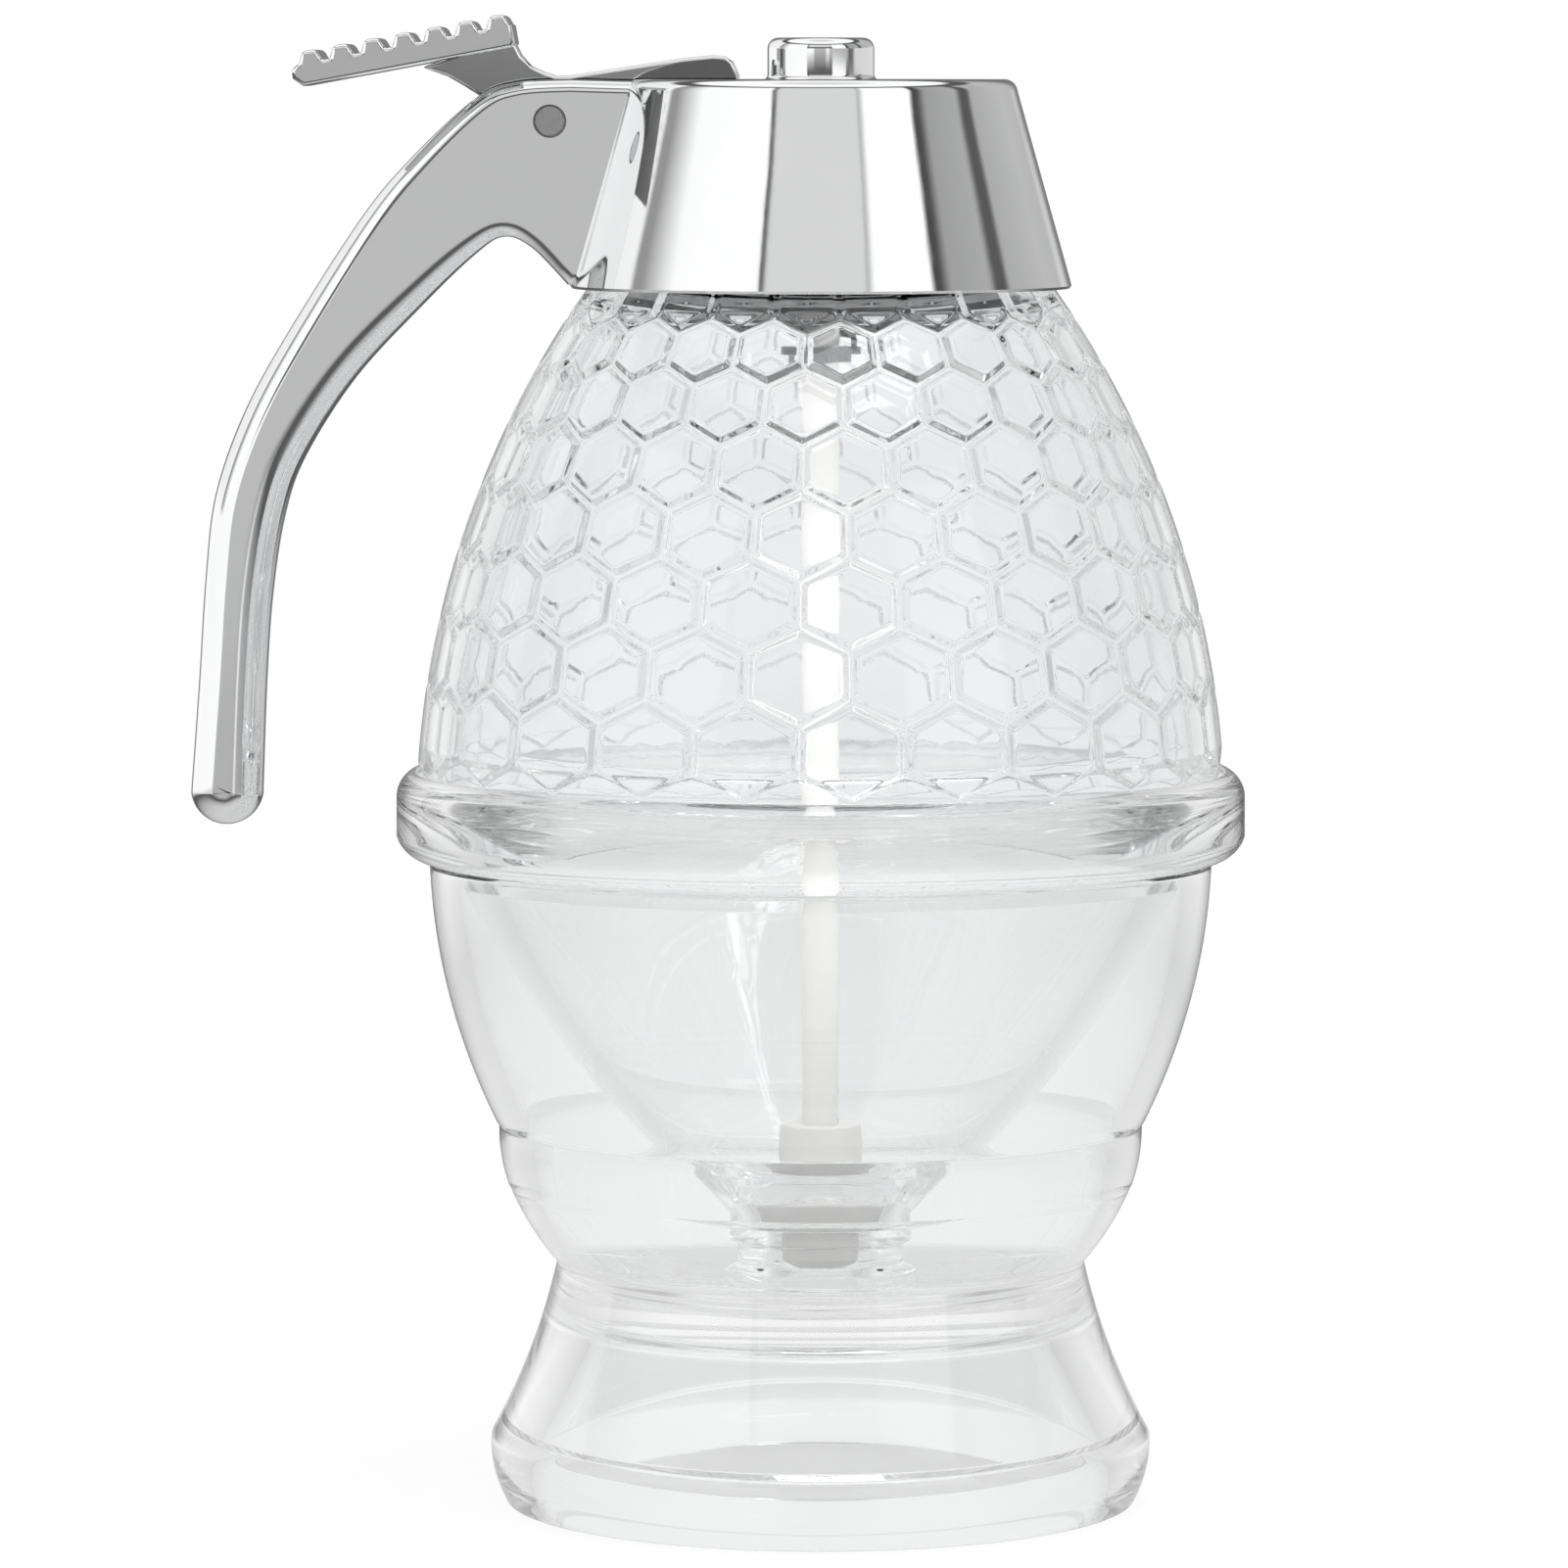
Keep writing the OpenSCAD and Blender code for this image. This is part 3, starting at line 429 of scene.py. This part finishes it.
# Points along each of a cell's sides, as shares of it
ALONG = [0, 0.07, 0.17, 0.33, 0.5, 0.67, 0.83, 0.93]


def cell_corners(k, d):
    """The six corners of a cell in row k, moved in by d, as (x in half cells, u)."""
    w = half_cell(rows_u[k])
    s = (w - d) / w
    up = (rows_u[min(k, FULL_ROWS) + 1] - rows_u[min(k, FULL_ROWS)]) / 6
    dn = (rows_u[max(k, 1)] - rows_u[max(k, 1) - 1]) / 6
    hi = (rows_u[k] + rows_u[k + 1]) / 2
    lo = (rows_u[k - 1] + rows_u[k]) / 2
    du, dd = d * math.hypot(1, 2 * up / w), d * math.hypot(1, 2 * dn / w)
    hs, ls = hi + up - 2 * up * s - du, lo - dn + 2 * dn * s + dd
    return [(0, hi + up - du), (-s, hs), (-s, ls), (0, lo - dn + dd), (s, ls), (s, hs)]


def cell_ring(k, d):
    """Points along a cell's outline moved in by d, with its corners rounded the more the further in."""
    c = cell_corners(k, d)
    round_off = max(0.0, min(1.0, (d - 0.2) / 0.5))
    near = ALONG[1] * 1.5
    out = []
    for e in range(6):
        a, b, z = c[e], c[(e + 1) % 6], c[e - 1]
        for i, t in enumerate(ALONG):
            p = [a[0] + (b[0] - a[0]) * t, a[1] + (b[1] - a[1]) * t]
            if i == 0:
                mid = [(a[j] + (b[j] - a[j]) * near + a[j] + (z[j] - a[j]) * near) / 2 for j in (0, 1)]
                p = [p[j] + (mid[j] - p[j]) * 0.6 * round_off for j in (0, 1)]
            out.append(p)
    return out


def hive():
    verts, faces = [], []
    ring_n = 6 * len(ALONG)
    for k in range(1, FULL_ROWS + 1):
        rings = [(cell_ring(k, d), h) for d, h in RISE]
        mid_u = (cell_corners(k, 0)[0][1] + cell_corners(k, 0)[3][1]) / 2
        for i in range(CELLS):
            mid = PHASE + 2 * HALF * i + HALF * (k % 2)
            base = len(verts)
            for pts, h in rings:
                verts += [on_side(mid + x * HALF, u, h) for x, u in pts]
            centre = len(verts)
            verts.append(on_side(mid, mid_u, 0))
            for j in range(len(RISE) - 1):
                for m in range(ring_n):
                    n = (m + 1) % ring_n
                    faces.append([base + j * ring_n + m, base + j * ring_n + n,
                                  base + (j + 1) * ring_n + n, base + (j + 1) * ring_n + m])
            last = base + (len(RISE) - 1) * ring_n
            for m in range(ring_n):
                faces.append([last + m, last + (m + 1) % ring_n, centre])

    # The comb's two zigzag ends, carried on to level rings in columns of one cell each
    def zigzag(k, edges):
        pts = []
        for i in range(CELLS):
            mid = PHASE + 2 * HALF * i + HALF * (k % 2)
            c = cell_corners(k, 0)
            for e0, e1 in edges:
                a, b = c[e0], c[e1]
                for t in ALONG:
                    pts.append((mid + (a[0] + (b[0] - a[0]) * t) * HALF, a[1] + (b[1] - a[1]) * t))
        return pts

    def ring(points):
        start = len(verts)
        verts.extend(on_side(a, u, DEPTH) for a, u in points)
        return start

    def band(p, q, n):
        for m in range(n):
            faces.append([p + m, p + (m + 1) % n, q + (m + 1) % n, q + m])

    low = zigzag(1, ((2, 3), (3, 4)))
    top = zigzag(FULL_ROWS, ((1, 0), (0, 5)))
    n = len(low)
    low_ring = ring(low)
    low_flat = ring([(a, (u + LOW_U) / 2) for a, u in low])
    low_end = ring([(a, LOW_U) for a, u in low])
    band(low_ring, low_flat, n)
    band(low_flat, low_end, n)
    top_ring = ring(top)
    top_end = ring([(a, TOP_U) for a, u in top])
    band(top_ring, top_end, n)

    # Shoulder, neck, smooth inside and foot, as plain rings in step with the comb's ends
    inner = DEPTH + HIVE_WALL
    inner_top = arc_len(SHOULDER_Z - HIVE_WALL)
    r_top = on_side(0, TOP_U, DEPTH)[0]
    around = [(r_top - 0.35, SHOULDER_Z - 0.18), (r_top - 0.9, SHOULDER_Z), (NECK_R + 0.3, SHOULDER_Z),
              (NECK_R, SHOULDER_Z + 0.3), (NECK_R, NECK_TOP - 0.3), (NECK_R - 0.3, NECK_TOP),
              (NECK_IN + 0.3, NECK_TOP), (NECK_IN, NECK_TOP - 0.3), (NECK_IN, SHOULDER_Z - HIVE_WALL + 0.4)]
    steps = 48
    ledge = arc_len(LEDGE_Z)
    for s in range(steps + 1):
        around.append(on_side(0, inner_top + (ledge - inner_top) * s / steps, inner)[::2])
    r, z = around[-1]
    around += [(r + 0.1, z - 0.25), (r + 0.3, z - 0.4), (r + 0.9, z - 0.5), (r + 1.05, z - 0.7),
               (r + 1.2, HIVE_Z), (HIVE_BASE_R - DEPTH, HIVE_Z)]
    angles_top = [a for a, u in top]
    angles_low = [a for a, u in low]
    prev = top_end
    for r, z in around:
        start = len(verts)
        verts.extend((r * math.cos(a), r * math.sin(a), z) for a in angles_top)
        band(prev, start, n)
        prev = start
    # The last ring and the comb's lower end are half a cell out of step
    turn = min(range(n), key=lambda m: abs((angles_low[0] - angles_top[m] + PI) % (2 * PI) - PI))
    for m in range(n):
        a, b = (m + turn) % n, (m + turn + 1) % n
        faces.append([prev + a, prev + b, low_end + (m + 1) % n, low_end + m])
    return verts, faces


hive_verts, hive_faces = hive()
piece("honeycomb_hive", hive_verts, hive_faces, "dispenser", "clear_hive", CLEAR_HIVE, ("hive_dome",), 40)

# ---- Cap with its knob ----


def cap_side(z):
    return CAP_R + (CAP_TOP_R - CAP_R) * (z - CAP_Z) / (CAP_TOP - CAP_Z)


CAP_FOOT = 132.9
cap_profile = (
    [(26.2, CAP_FOOT), (27.05, CAP_FOOT), (cap_side(133.2), 133.2)]
    + [(cap_side(z), z) for z in (137, 142, 147, 151)]
    + arc((cap_side(154.3), 154.3), (19.8, CAP_TOP), 1.4, 8)
    + [(13, CAP_TOP), (6.3, CAP_TOP)]
    + arc((6.3, CAP_TOP), (KNOB_R, 156.0), -0.5, 5)
    + arc((KNOB_R, 158.8), (4.6, KNOB_TOP), 1.2, 8)
    + [(2.5, KNOB_TOP), (0, KNOB_TOP), (0, 158.8), (4.3, 158.8), (4.3, 153.7), (18.4, 153.7), (20.6, 142.4),
       (22.9, 142.4), (25.07, 135.3)]
)
# The room for the lever in cap and handle, from the pivot
lever_room = [(-10.5, 12), (-10.5, 1.4), (-4, -3.2), (0, -4.1), (4, -3.6), (14, -1), (21.4, -1), (21.4, 12)]
SLOT_W = 5.6


def around_pivot(outline):
    return [(PIVOT[0] + x, PIVOT[1] + z) for x, z in outline]


def pin_bore(radius):
    turns = np.linspace(0, 2 * PI, 48, endpoint=False)
    return temp(*slab(around_pivot([(radius * math.cos(a), radius * math.sin(a)) for a in turns]), -9, 9))


def cap_and_handle():
    slot = temp(*slab(around_pivot(lever_room), -SLOT_W / 2, SLOT_W / 2))
    body = temp(*lathe(cap_profile, 256))
    boolean(body, slot)
    cap = finished(body, "chromed_cap")
    dress("chromed_cap", cap, "cap", CHROME, ("cap",), 35)

    # The handle's two edges, as shares of its reach from the cap and of its drop from the cap's top
    reach, drop = 47.7, 77.3
    outer = [(0.126, 0), (0.25, 0.004), (0.34, 0.025), (0.478, 0.102), (0.602, 0.191), (0.78, 0.361),
             (0.878, 0.472), (0.941, 0.583), (0.964, 0.695), (0.981, 0.847), (1, 1)]
    inner = [(0.836, 1), (0.826, 0.847), (0.811, 0.722), (0.782, 0.611), (0.734, 0.528), (0.618, 0.417),
             (0.463, 0.314), (0.35, 0.247), (0.281, 0.22), (0.216, 0.235), (0.134, 0.287)]

    def point(p):
        return (-CAP_TOP_R - p[0] * reach, CAP_TOP - p[1] * drop)

    tip_a, tip_b = point((1, 1)), point((0.836, 1))
    outline = (
        [(-CAP_TOP_R + 5, CAP_TOP - 0.3)]
        + through([point(p) for p in outer], 8)
        + arc((tip_a[0], tip_a[1] - 0.4), (tip_b[0], tip_b[1] - 0.4), reach * 0.083, 29)
        + through([point(p) for p in inner], 8)[:-3]
        + [point(inner[-1]), (-CAP_TOP_R + 3, point(inner[-1])[1])]
    )
    # The edges' rounding as (inset, depth): small at the root, wider and deeper down the arm
    outer_edge, inner_edge = ((1.4, 1.4), (2.6, 4.2)), ((1.2, 1.2), (3.3, 4.6))
    tip_x, tip_y = 2.95, 4.4
    thick, steps, n = 10.0, 10, len(outline)
    rounding = []
    for i in range(n):
        from_root = min(i, n - 1 - i)
        t = min(1.0, from_root / (0.55 * n / 2))
        t = t * t * (3 - 2 * t)
        (ax, ay), (bx, by) = outer_edge if i < n // 2 else inner_edge
        near_tip = max(0.0, min(1.0, (from_root - 80) / 14))
        rounding.append((ax + (bx - ax) * t + (tip_x - bx) * near_tip,
                         ay + (by - ay) * t + (tip_y - by) * near_tip))
    levels = [(-1, None)] + [(-1, PI / 2 * (steps - s) / steps) for s in range(steps + 1)]
    levels += [(1, PI / 2 * s / steps) for s in range(steps + 1)] + [(1, None)]
    verts, faces = [], []
    for side, turn in levels:
        for i in range(n):
            ex, ey = rounding[i]
            d = ex + 0.3 if turn is None else ex * (1 - math.cos(turn))
            y = thick / 2 if turn is None else thick / 2 - ey + ey * math.sin(turn)
            here = np.array(outline[i])
            a, b = here - outline[i - 1], np.array(outline[(i + 1) % n]) - here
            a, b = a / np.hypot(*a), b / np.hypot(*b)
            here = here + d * np.array([-a[1] - b[1], a[0] + b[0]]) / (1 + a @ b)
            verts.append((here[0], side * y, here[1]))
    for j in range(len(levels) - 1):
        p, q = j * n, (j + 1) * n
        faces += [[p + i, p + (i + 1) % n, q + (i + 1) % n, q + i] for i in range(n)]
    # Each cheek as strips between its outer and its inner edge
    last = (len(levels) - 1) * n
    for i in range(n // 2 - 1):
        k = n - 1 - i
        faces += [[k, k - 1, i + 1, i], [last + i, last + i + 1, last + k - 1, last + k]]
    body = temp(verts, faces)
    # Where the handle meets the cap, 0.8 mm within the cap's side
    low, high = 131, 156.5
    cut = [(-cap_side(low) + 0.8, low), (-cap_side(high) + 0.8, high), (0, high), (0, low)]
    root = temp(*slab(cut, -9, 9))
    bore = pin_bore(1.8)
    boolean(body, root, slot, bore)
    handle = finished(body, "handle")
    dress("side_handle", handle, "cap", CHROME, ("handle",), 35, flat=2.5)
    discard(slot, bore, root)


cap_and_handle()

# ---- Thumb lever: toothed pad, web and arm with softened edges ----

# A tooth's outline: shares of the pitch and of the tooth's height
TOOTH = ((0.0, 0), (0.05, 0.1), (0.09, 0.35), (0.13, 0.65), (0.2, 0.88), (0.29, 0.98), (0.42, 1),
         (0.55, 0.98), (0.64, 0.88), (0.71, 0.65), (0.75, 0.35), (0.79, 0.1), (0.84, 0))
SOFT_EDGE = 0.4


def thumb_lever():
    pad_len, pad_w, teeth, tooth_h, base = 24.2, 16.0, 7, 1.3, 3.7
    pitch = (pad_len - 1.6) / (teeth - 0.4)
    top = []
    for i in range(teeth):
        x0 = 0.8 + pitch * i - pad_len
        top += [(x0 + pitch * t, base - tooth_h * (1 - h)) for t, h in TOOTH]
    pad = [(0.02, 0.4), (-0.4, 0), (-pad_len + 1, 0), (-pad_len, 1),
           (-pad_len, base - tooth_h - 0.4)] + top
    lean = math.radians(10.5)
    pad = around_pivot([(-3.6 + x * math.cos(lean) - z * math.sin(lean),
                         8 + x * math.sin(lean) + z * math.cos(lean)) for x, z in pad])
    web = (
        [(-13.9, 5.8), (-11.1, 4.8), (-9.2, 3.7), (-7.2, 2.4), (-3.4, 0)]
        + arc((-3.4, 0), (0, -3.4), 3.4, 10)[1:]
        + [(2.4, -2.4), (4.4, 0.6), (15.5, 2.6), (16.5, 1.4), (16.5, -2.8), (17.1, -3.4), (20.5, -3.4),
           (20.5, 4.9), (19.8, 6.4), (18.9, 7.0), (17.6, 7.1), (14.5, 6.8), (8, 5.8), (2.1, 4.9), (0.5, 4.9),
           (-0.7, 5.3), (-2, 5.9), (-3.1, 7.1), (-4.2, 9.3)]
    )
    finger = [(19.5, -3.4)] + arc((29.5, -3.4), (29.5, -1.4), 1.0, 8) + [(19.5, -1.4)]
    # Web and pad narrow downwards, as they left the mould
    up = (-math.sin(lean), math.cos(lean))
    pad_top = PIVOT[1] + 8 + base * math.cos(lean)
    pad_left = PIVOT[0] - 3.6 - base * math.sin(lean)
    web = temp(*tapered(around_pivot(web), lambda x, z: 2.5 - 0.09 * (PIVOT[1] + 9.3 - z)))
    pad = temp(*tapered(
        pad, lambda x, z: pad_w / 2 - 0.05 * ((pad_left - x) * up[0] + (pad_top - z) * up[1])))
    finger = temp(*slab(around_pivot(finger), -1.5, 1.5))
    bore = pin_bore(1.85)
    for ob, sharp in ((web, 50), (pad, 60), (finger, 50)):
        mod = ob.modifiers.new("soft", "BEVEL")
        mod.width = SOFT_EDGE * MM
        mod.segments = 4
        mod.use_clamp_overlap = ob is not pad
        mod.limit_method = "ANGLE"
        mod.angle_limit = math.radians(sharp)
    boolean(web, pad, finger, operation="UNION")
    boolean(web, bore)
    me = finished(web, "thumb_lever")
    dress("toothed_lever", me, "lever", CHROME, ("thumb_lever",), 35, flat=2.0)
    discard(pad, finger, bore)


thumb_lever()

# ---- Rod and stopper ----

rod = [(0, ROD_FOOT), (ROD_R, ROD_FOOT), (ROD_R, 145.55), (1.6, 145.95), (0, 145.95)]
piece("lift_rod", *lathe(soften(rod, 0.2), 48), "plunger", "white_plastic", WHITE, ("plunger_rod",))

stopper = (
    arc((0, 26.7), (4.2, 28.6), 5.5, 10)
    + [(4.2, SEAT_Z), (5.39, SEAT_Z), (7.0, 35.7), (6.9, 36.2), (4.6, 36.2), (4.5, 37.8), (4.8, 37.8),
       (4.4, 43.1), (ROD_R, 43.1), (ROD_R, ROD_FOOT), (0, ROD_FOOT)]
)
piece("stopper_plug", *lathe(soften(stopper, 0.3), 96), "plunger", "white_plastic", WHITE, ("stopper",))

# ---- Return spring ----


def spring():
    coil, wire, turns, per, sides = 3.6, 0.35, 7, 24, 12
    z0, z1 = SPRING_Z
    low, high = z0 + 1.05, z1 - 1.05
    path = [(coil, 0, z0), (coil, 0, z0 + 0.7)]
    for i in range(1, turns * per):
        t = i / (turns * per)
        a = 2 * PI * turns * t
        path.append((coil * math.cos(a), coil * math.sin(a), low + (high - low) * t))
    path += [(coil, 0, z1 - 0.7), (coil, 0, z1)]
    verts, faces = [], []
    for i, p in enumerate(path):
        q0, q1 = Vector(path[max(i - 1, 0)]), Vector(path[min(i + 1, len(path) - 1)])
        h = Vector((0, 0, 1)) if i <= 1 or i >= len(path) - 2 else (q1 - q0).normalized()
        side = h.cross(Vector((p[0], p[1], 0)).normalized()).normalized()
        up = side.cross(h)
        for s in range(sides):
            v = Vector(p) + wire * (up * math.cos(2 * PI * s / sides) + side * math.sin(2 * PI * s / sides))
            verts.append(tuple(v))
    for i in range(len(path) - 1):
        for s in range(sides):
            t = (s + 1) % sides
            faces.append([i * sides + s, i * sides + t, (i + 1) * sides + t, (i + 1) * sides + s])
    faces += [list(range(sides)), list(range((len(path) - 1) * sides, len(path) * sides))]
    ob = piece("return_coil", verts, faces, "cap", "spring_steel", SPRING_STEEL, ("return_spring",))
    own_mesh(ob)


spring()

# ---- The model's own nodes that stay in view ----

for name, mat in (("neck_gasket", GASKET), ("inner_cap", LINER), ("lever_pin", PIN_STEEL),
                  ("plunger_head", WHITE), ("spring_washer", SPRING_STEEL), ("rod_clip", SPRING_STEEL)):
    ob = nodes[name]
    for i in range(len(ob.material_slots)):
        ob.material_slots[i].material = mat
    if not ob.material_slots:
        ob.data.materials.append(mat)

# ---- Floor, light and surroundings ----

FLOOR_R = 0.9
# The distances between which the floor fades into the white behind it
FADE = (0.06, 0.3)


def floor():
    """A white table that keeps the object's soft shadow and fades into the white behind it."""
    me = bpy.data.meshes.new("floor")
    n = 96
    angles = [2 * PI * i / n for i in range(n)]
    verts = [(0, 0, 0)] + [(FLOOR_R * math.cos(a), FLOOR_R * math.sin(a), 0) for a in angles]
    me.from_pydata(verts, [], [[0, 1 + i, 1 + (i + 1) % n] for i in range(n)])
    ob = bpy.data.objects.new("floor", me)
    scene.collection.objects.link(ob)
    ob.location.z = -0.0002
    m, nt, p = material("floor")
    p.inputs["Base Color"].default_value = (0.9, 0.9, 0.9, 1)
    p.inputs["Roughness"].default_value = 0.9
    p.inputs["Specular IOR Level"].default_value = 0.1
    # White to the camera and as a light, a little darker in mirrors and through the clear pieces
    path = nt.nodes.new("ShaderNodeLightPath")
    level = nt.nodes.new("ShaderNodeMapRange")
    level.inputs["To Min"].default_value = 0.72
    level.inputs["To Max"].default_value = 1.0
    either = nt.nodes.new("ShaderNodeMath")
    either.operation = "ADD"
    either.use_clamp = True
    nt.links.new(path.outputs["Is Camera Ray"], either.inputs[0])
    nt.links.new(path.outputs["Diffuse Depth"], either.inputs[1])
    nt.links.new(either.outputs["Value"], level.inputs["Value"])
    glow = nt.nodes.new("ShaderNodeEmission")
    nt.links.new(level.outputs["Result"], glow.inputs["Strength"])
    mix = nt.nodes.new("ShaderNodeMixShader")
    mix.inputs["Fac"].default_value = 0.9
    nt.links.new(p.outputs["BSDF"], mix.inputs[1])
    nt.links.new(glow.outputs["Emission"], mix.inputs[2])
    tc = nt.nodes.new("ShaderNodeTexCoord")
    far = nt.nodes.new("ShaderNodeVectorMath")
    far.operation = "LENGTH"
    nt.links.new(tc.outputs["Object"], far.inputs[0])
    fade = nt.nodes.new("ShaderNodeMapRange")
    fade.interpolation_type = "SMOOTHSTEP"
    fade.inputs["From Min"].default_value = FADE[0]
    fade.inputs["From Max"].default_value = FADE[1]
    nt.links.new(far.outputs["Value"], fade.inputs["Value"])
    clear = nt.nodes.new("ShaderNodeBsdfTransparent")
    edge = nt.nodes.new("ShaderNodeMixShader")
    nt.links.new(fade.outputs["Result"], edge.inputs["Fac"])
    nt.links.new(mix.outputs["Shader"], edge.inputs[1])
    nt.links.new(clear.outputs["BSDF"], edge.inputs[2])
    nt.links.new(edge.outputs["Shader"], nt.nodes["Material Output"].inputs["Surface"])
    me.materials.append(m)


floor()


def soft_box(name, where, aim, size, power):
    """A square soft box that mirrors do not show."""
    la = bpy.data.lights.new(name, "AREA")
    la.shape = "SQUARE"
    la.size, la.energy = size, power
    ob = bpy.data.objects.new(name, la)
    scene.collection.objects.link(ob)
    ob.location = where
    ob.rotation_euler = (Vector(aim) - Vector(where)).to_track_quat("-Z", "Y").to_euler()
    ob.visible_glossy = False


def surroundings():
    """A pale studio, seen three ways: white to the camera, nearly white through clear plastic, and to
    mirrors a room with soft boxes left and right of the camera and greys between them."""
    w = bpy.data.worlds.new("studio")
    scene.world = w
    w.use_nodes = True
    nt = w.node_tree
    nt.nodes.clear()
    tc = nt.nodes.new("ShaderNodeTexCoord")
    sp = nt.nodes.new("ShaderNodeSeparateXYZ")
    nt.links.new(tc.outputs["Generated"], sp.inputs["Vector"])
    # Direction round the object: 0 towards the camera, positive to the right, 180 straight behind
    neg = nt.nodes.new("ShaderNodeMath")
    neg.operation = "MULTIPLY"
    neg.inputs[1].default_value = -1
    nt.links.new(sp.outputs["Y"], neg.inputs[0])
    at = nt.nodes.new("ShaderNodeMath")
    at.operation = "ARCTAN2"
    nt.links.new(sp.outputs["X"], at.inputs[0])
    nt.links.new(neg.outputs["Value"], at.inputs[1])
    way = nt.nodes.new("ShaderNodeMapRange")
    way.inputs["From Min"].default_value = -PI
    way.inputs["From Max"].default_value = PI
    nt.links.new(at.outputs["Value"], way.inputs["Value"])

    def ramp(stops):
        r = nt.nodes.new("ShaderNodeValToRGB")
        el = r.color_ramp.elements
        while len(el) > 1:
            el.remove(el[-1])
        for i, (deg, v) in enumerate(stops):
            e = el[0] if i == 0 else el.new((deg + 180) / 360)
            e.position = (deg + 180) / 360
            e.color = (v, v, v, 1)
        nt.links.new(way.outputs["Result"], r.inputs["Fac"])
        return r.outputs["Color"]

    def height(below, above, low, high):
        """One colour below, another above, changing between two heights of the direction."""
        up = nt.nodes.new("ShaderNodeMapRange")
        up.inputs["From Min"].default_value = low
        up.inputs["From Max"].default_value = high
        nt.links.new(sp.outputs["Z"], up.inputs["Value"])
        mix = nt.nodes.new("ShaderNodeMix")
        mix.data_type = "RGBA"
        for end, colour in (("A", below), ("B", above)):
            if isinstance(colour, float):
                mix.inputs[end].default_value = (colour, colour, colour, 1)
            else:
                nt.links.new(colour, mix.inputs[end])
        nt.links.new(up.outputs["Result"], mix.inputs["Factor"])
        return mix.outputs["Result"]

    def background(colour):
        b = nt.nodes.new("ShaderNodeBackground")
        if isinstance(colour, float):
            b.inputs["Color"].default_value = (colour, colour, colour, 1)
        else:
            nt.links.new(colour, b.inputs["Color"])
        return b.outputs["Background"]

    def either(fac, no, yes):
        pick = nt.nodes.new("ShaderNodeMixShader")
        nt.links.new(fac, pick.inputs["Fac"])
        nt.links.new(no, pick.inputs[1])
        nt.links.new(yes, pick.inputs[2])
        return pick.outputs["Shader"]

    # Level with the object: a wide soft box on the left, greys before the camera and on the right
    level = ramp([
        (-180, 0.22), (-156, 0.25), (-146, 1.15), (-16, 1.2), (-13, 0.6), (10, 0.62), (12, 1.15), (17, 1.15),
        (20, 0.62), (58, 0.55), (64, 0.16), (72, 0.2), (80, 0.8), (150, 0.85), (162, 0.25), (180, 0.22)])
    # Above it, as the cap's slanting side sees it
    left = [
        (-180, 0.2), (-165, 0.2), (-150, 1.0), (-103, 1.1), (-100, 0.36), (-95, 0.36), (-76, 1.2),
        (-31, 1.25)]
    middle = [(-30, 0.12), (-28, 0.25), (-26.5, 0.82), (21, 0.82), (23, 0.5)]
    right = [
        (26, 1.25), (55, 1.25), (57, 0.07), (61, 0.1), (66, 0.42), (88, 0.5), (92, 0.12), (98, 0.12),
        (101, 0.5), (130, 0.6), (150, 0.55), (165, 0.2), (180, 0.2)]
    slant = ramp(left + middle + right)
    step = ramp(left + [(-29, 0.14), (24, 0.14)] + right)
    room = 0.12
    for above, low, high in ((level, -0.22, -0.06), (step, 0.1, 0.14), (slant, 0.27, 0.33),
                             (0.12, 0.62, 0.66), (1.2, 0.74, 0.78), (0.85, 0.95, 0.98)):
        room = height(room, above, low, high)
    through_clear = height(ramp([
        (-180, 0.91), (-160, 0.91), (-125, 0.62), (-90, 0.5), (-60, 0.85), (-30, 0.88), (0, 0.5), (30, 0.88),
        (60, 0.85), (90, 0.5), (125, 0.62), (160, 0.91), (180, 0.91)]), 0.7, 0.3, 0.7)
    path = nt.nodes.new("ShaderNodeLightPath")
    out = nt.nodes.new("ShaderNodeOutputWorld")
    seen = either(path.outputs["Is Transmission Ray"], background(room), background(through_clear))
    # Light on what lies inside the clear pieces, and the plain level on what lies outside them
    inside_level, plain_level, white = 2.35, 0.9, 1.0
    inside = nt.nodes.new("ShaderNodeMath")
    inside.operation = "MINIMUM"
    inside.inputs[1].default_value = 1
    nt.links.new(path.outputs["Diffuse Depth"], inside.inputs[0])
    seen = either(inside.outputs["Value"], seen, background(inside_level))
    seen = either(path.outputs["Is Diffuse Ray"], seen, background(plain_level))
    seen = either(path.outputs["Is Camera Ray"], seen, background(white))
    nt.links.new(seen, out.inputs["Surface"])


surroundings()
soft_box("top_box", (0.1, -0.25, 0.9), (0, 0, 0.08), 0.6, 4)
scene.view_settings.view_transform = "Standard"
# Light runs a long way inside clear plastic before it comes out
scene.cycles.max_bounces = 40
scene.cycles.glossy_bounces = 32
scene.cycles.transmission_bounces = 40
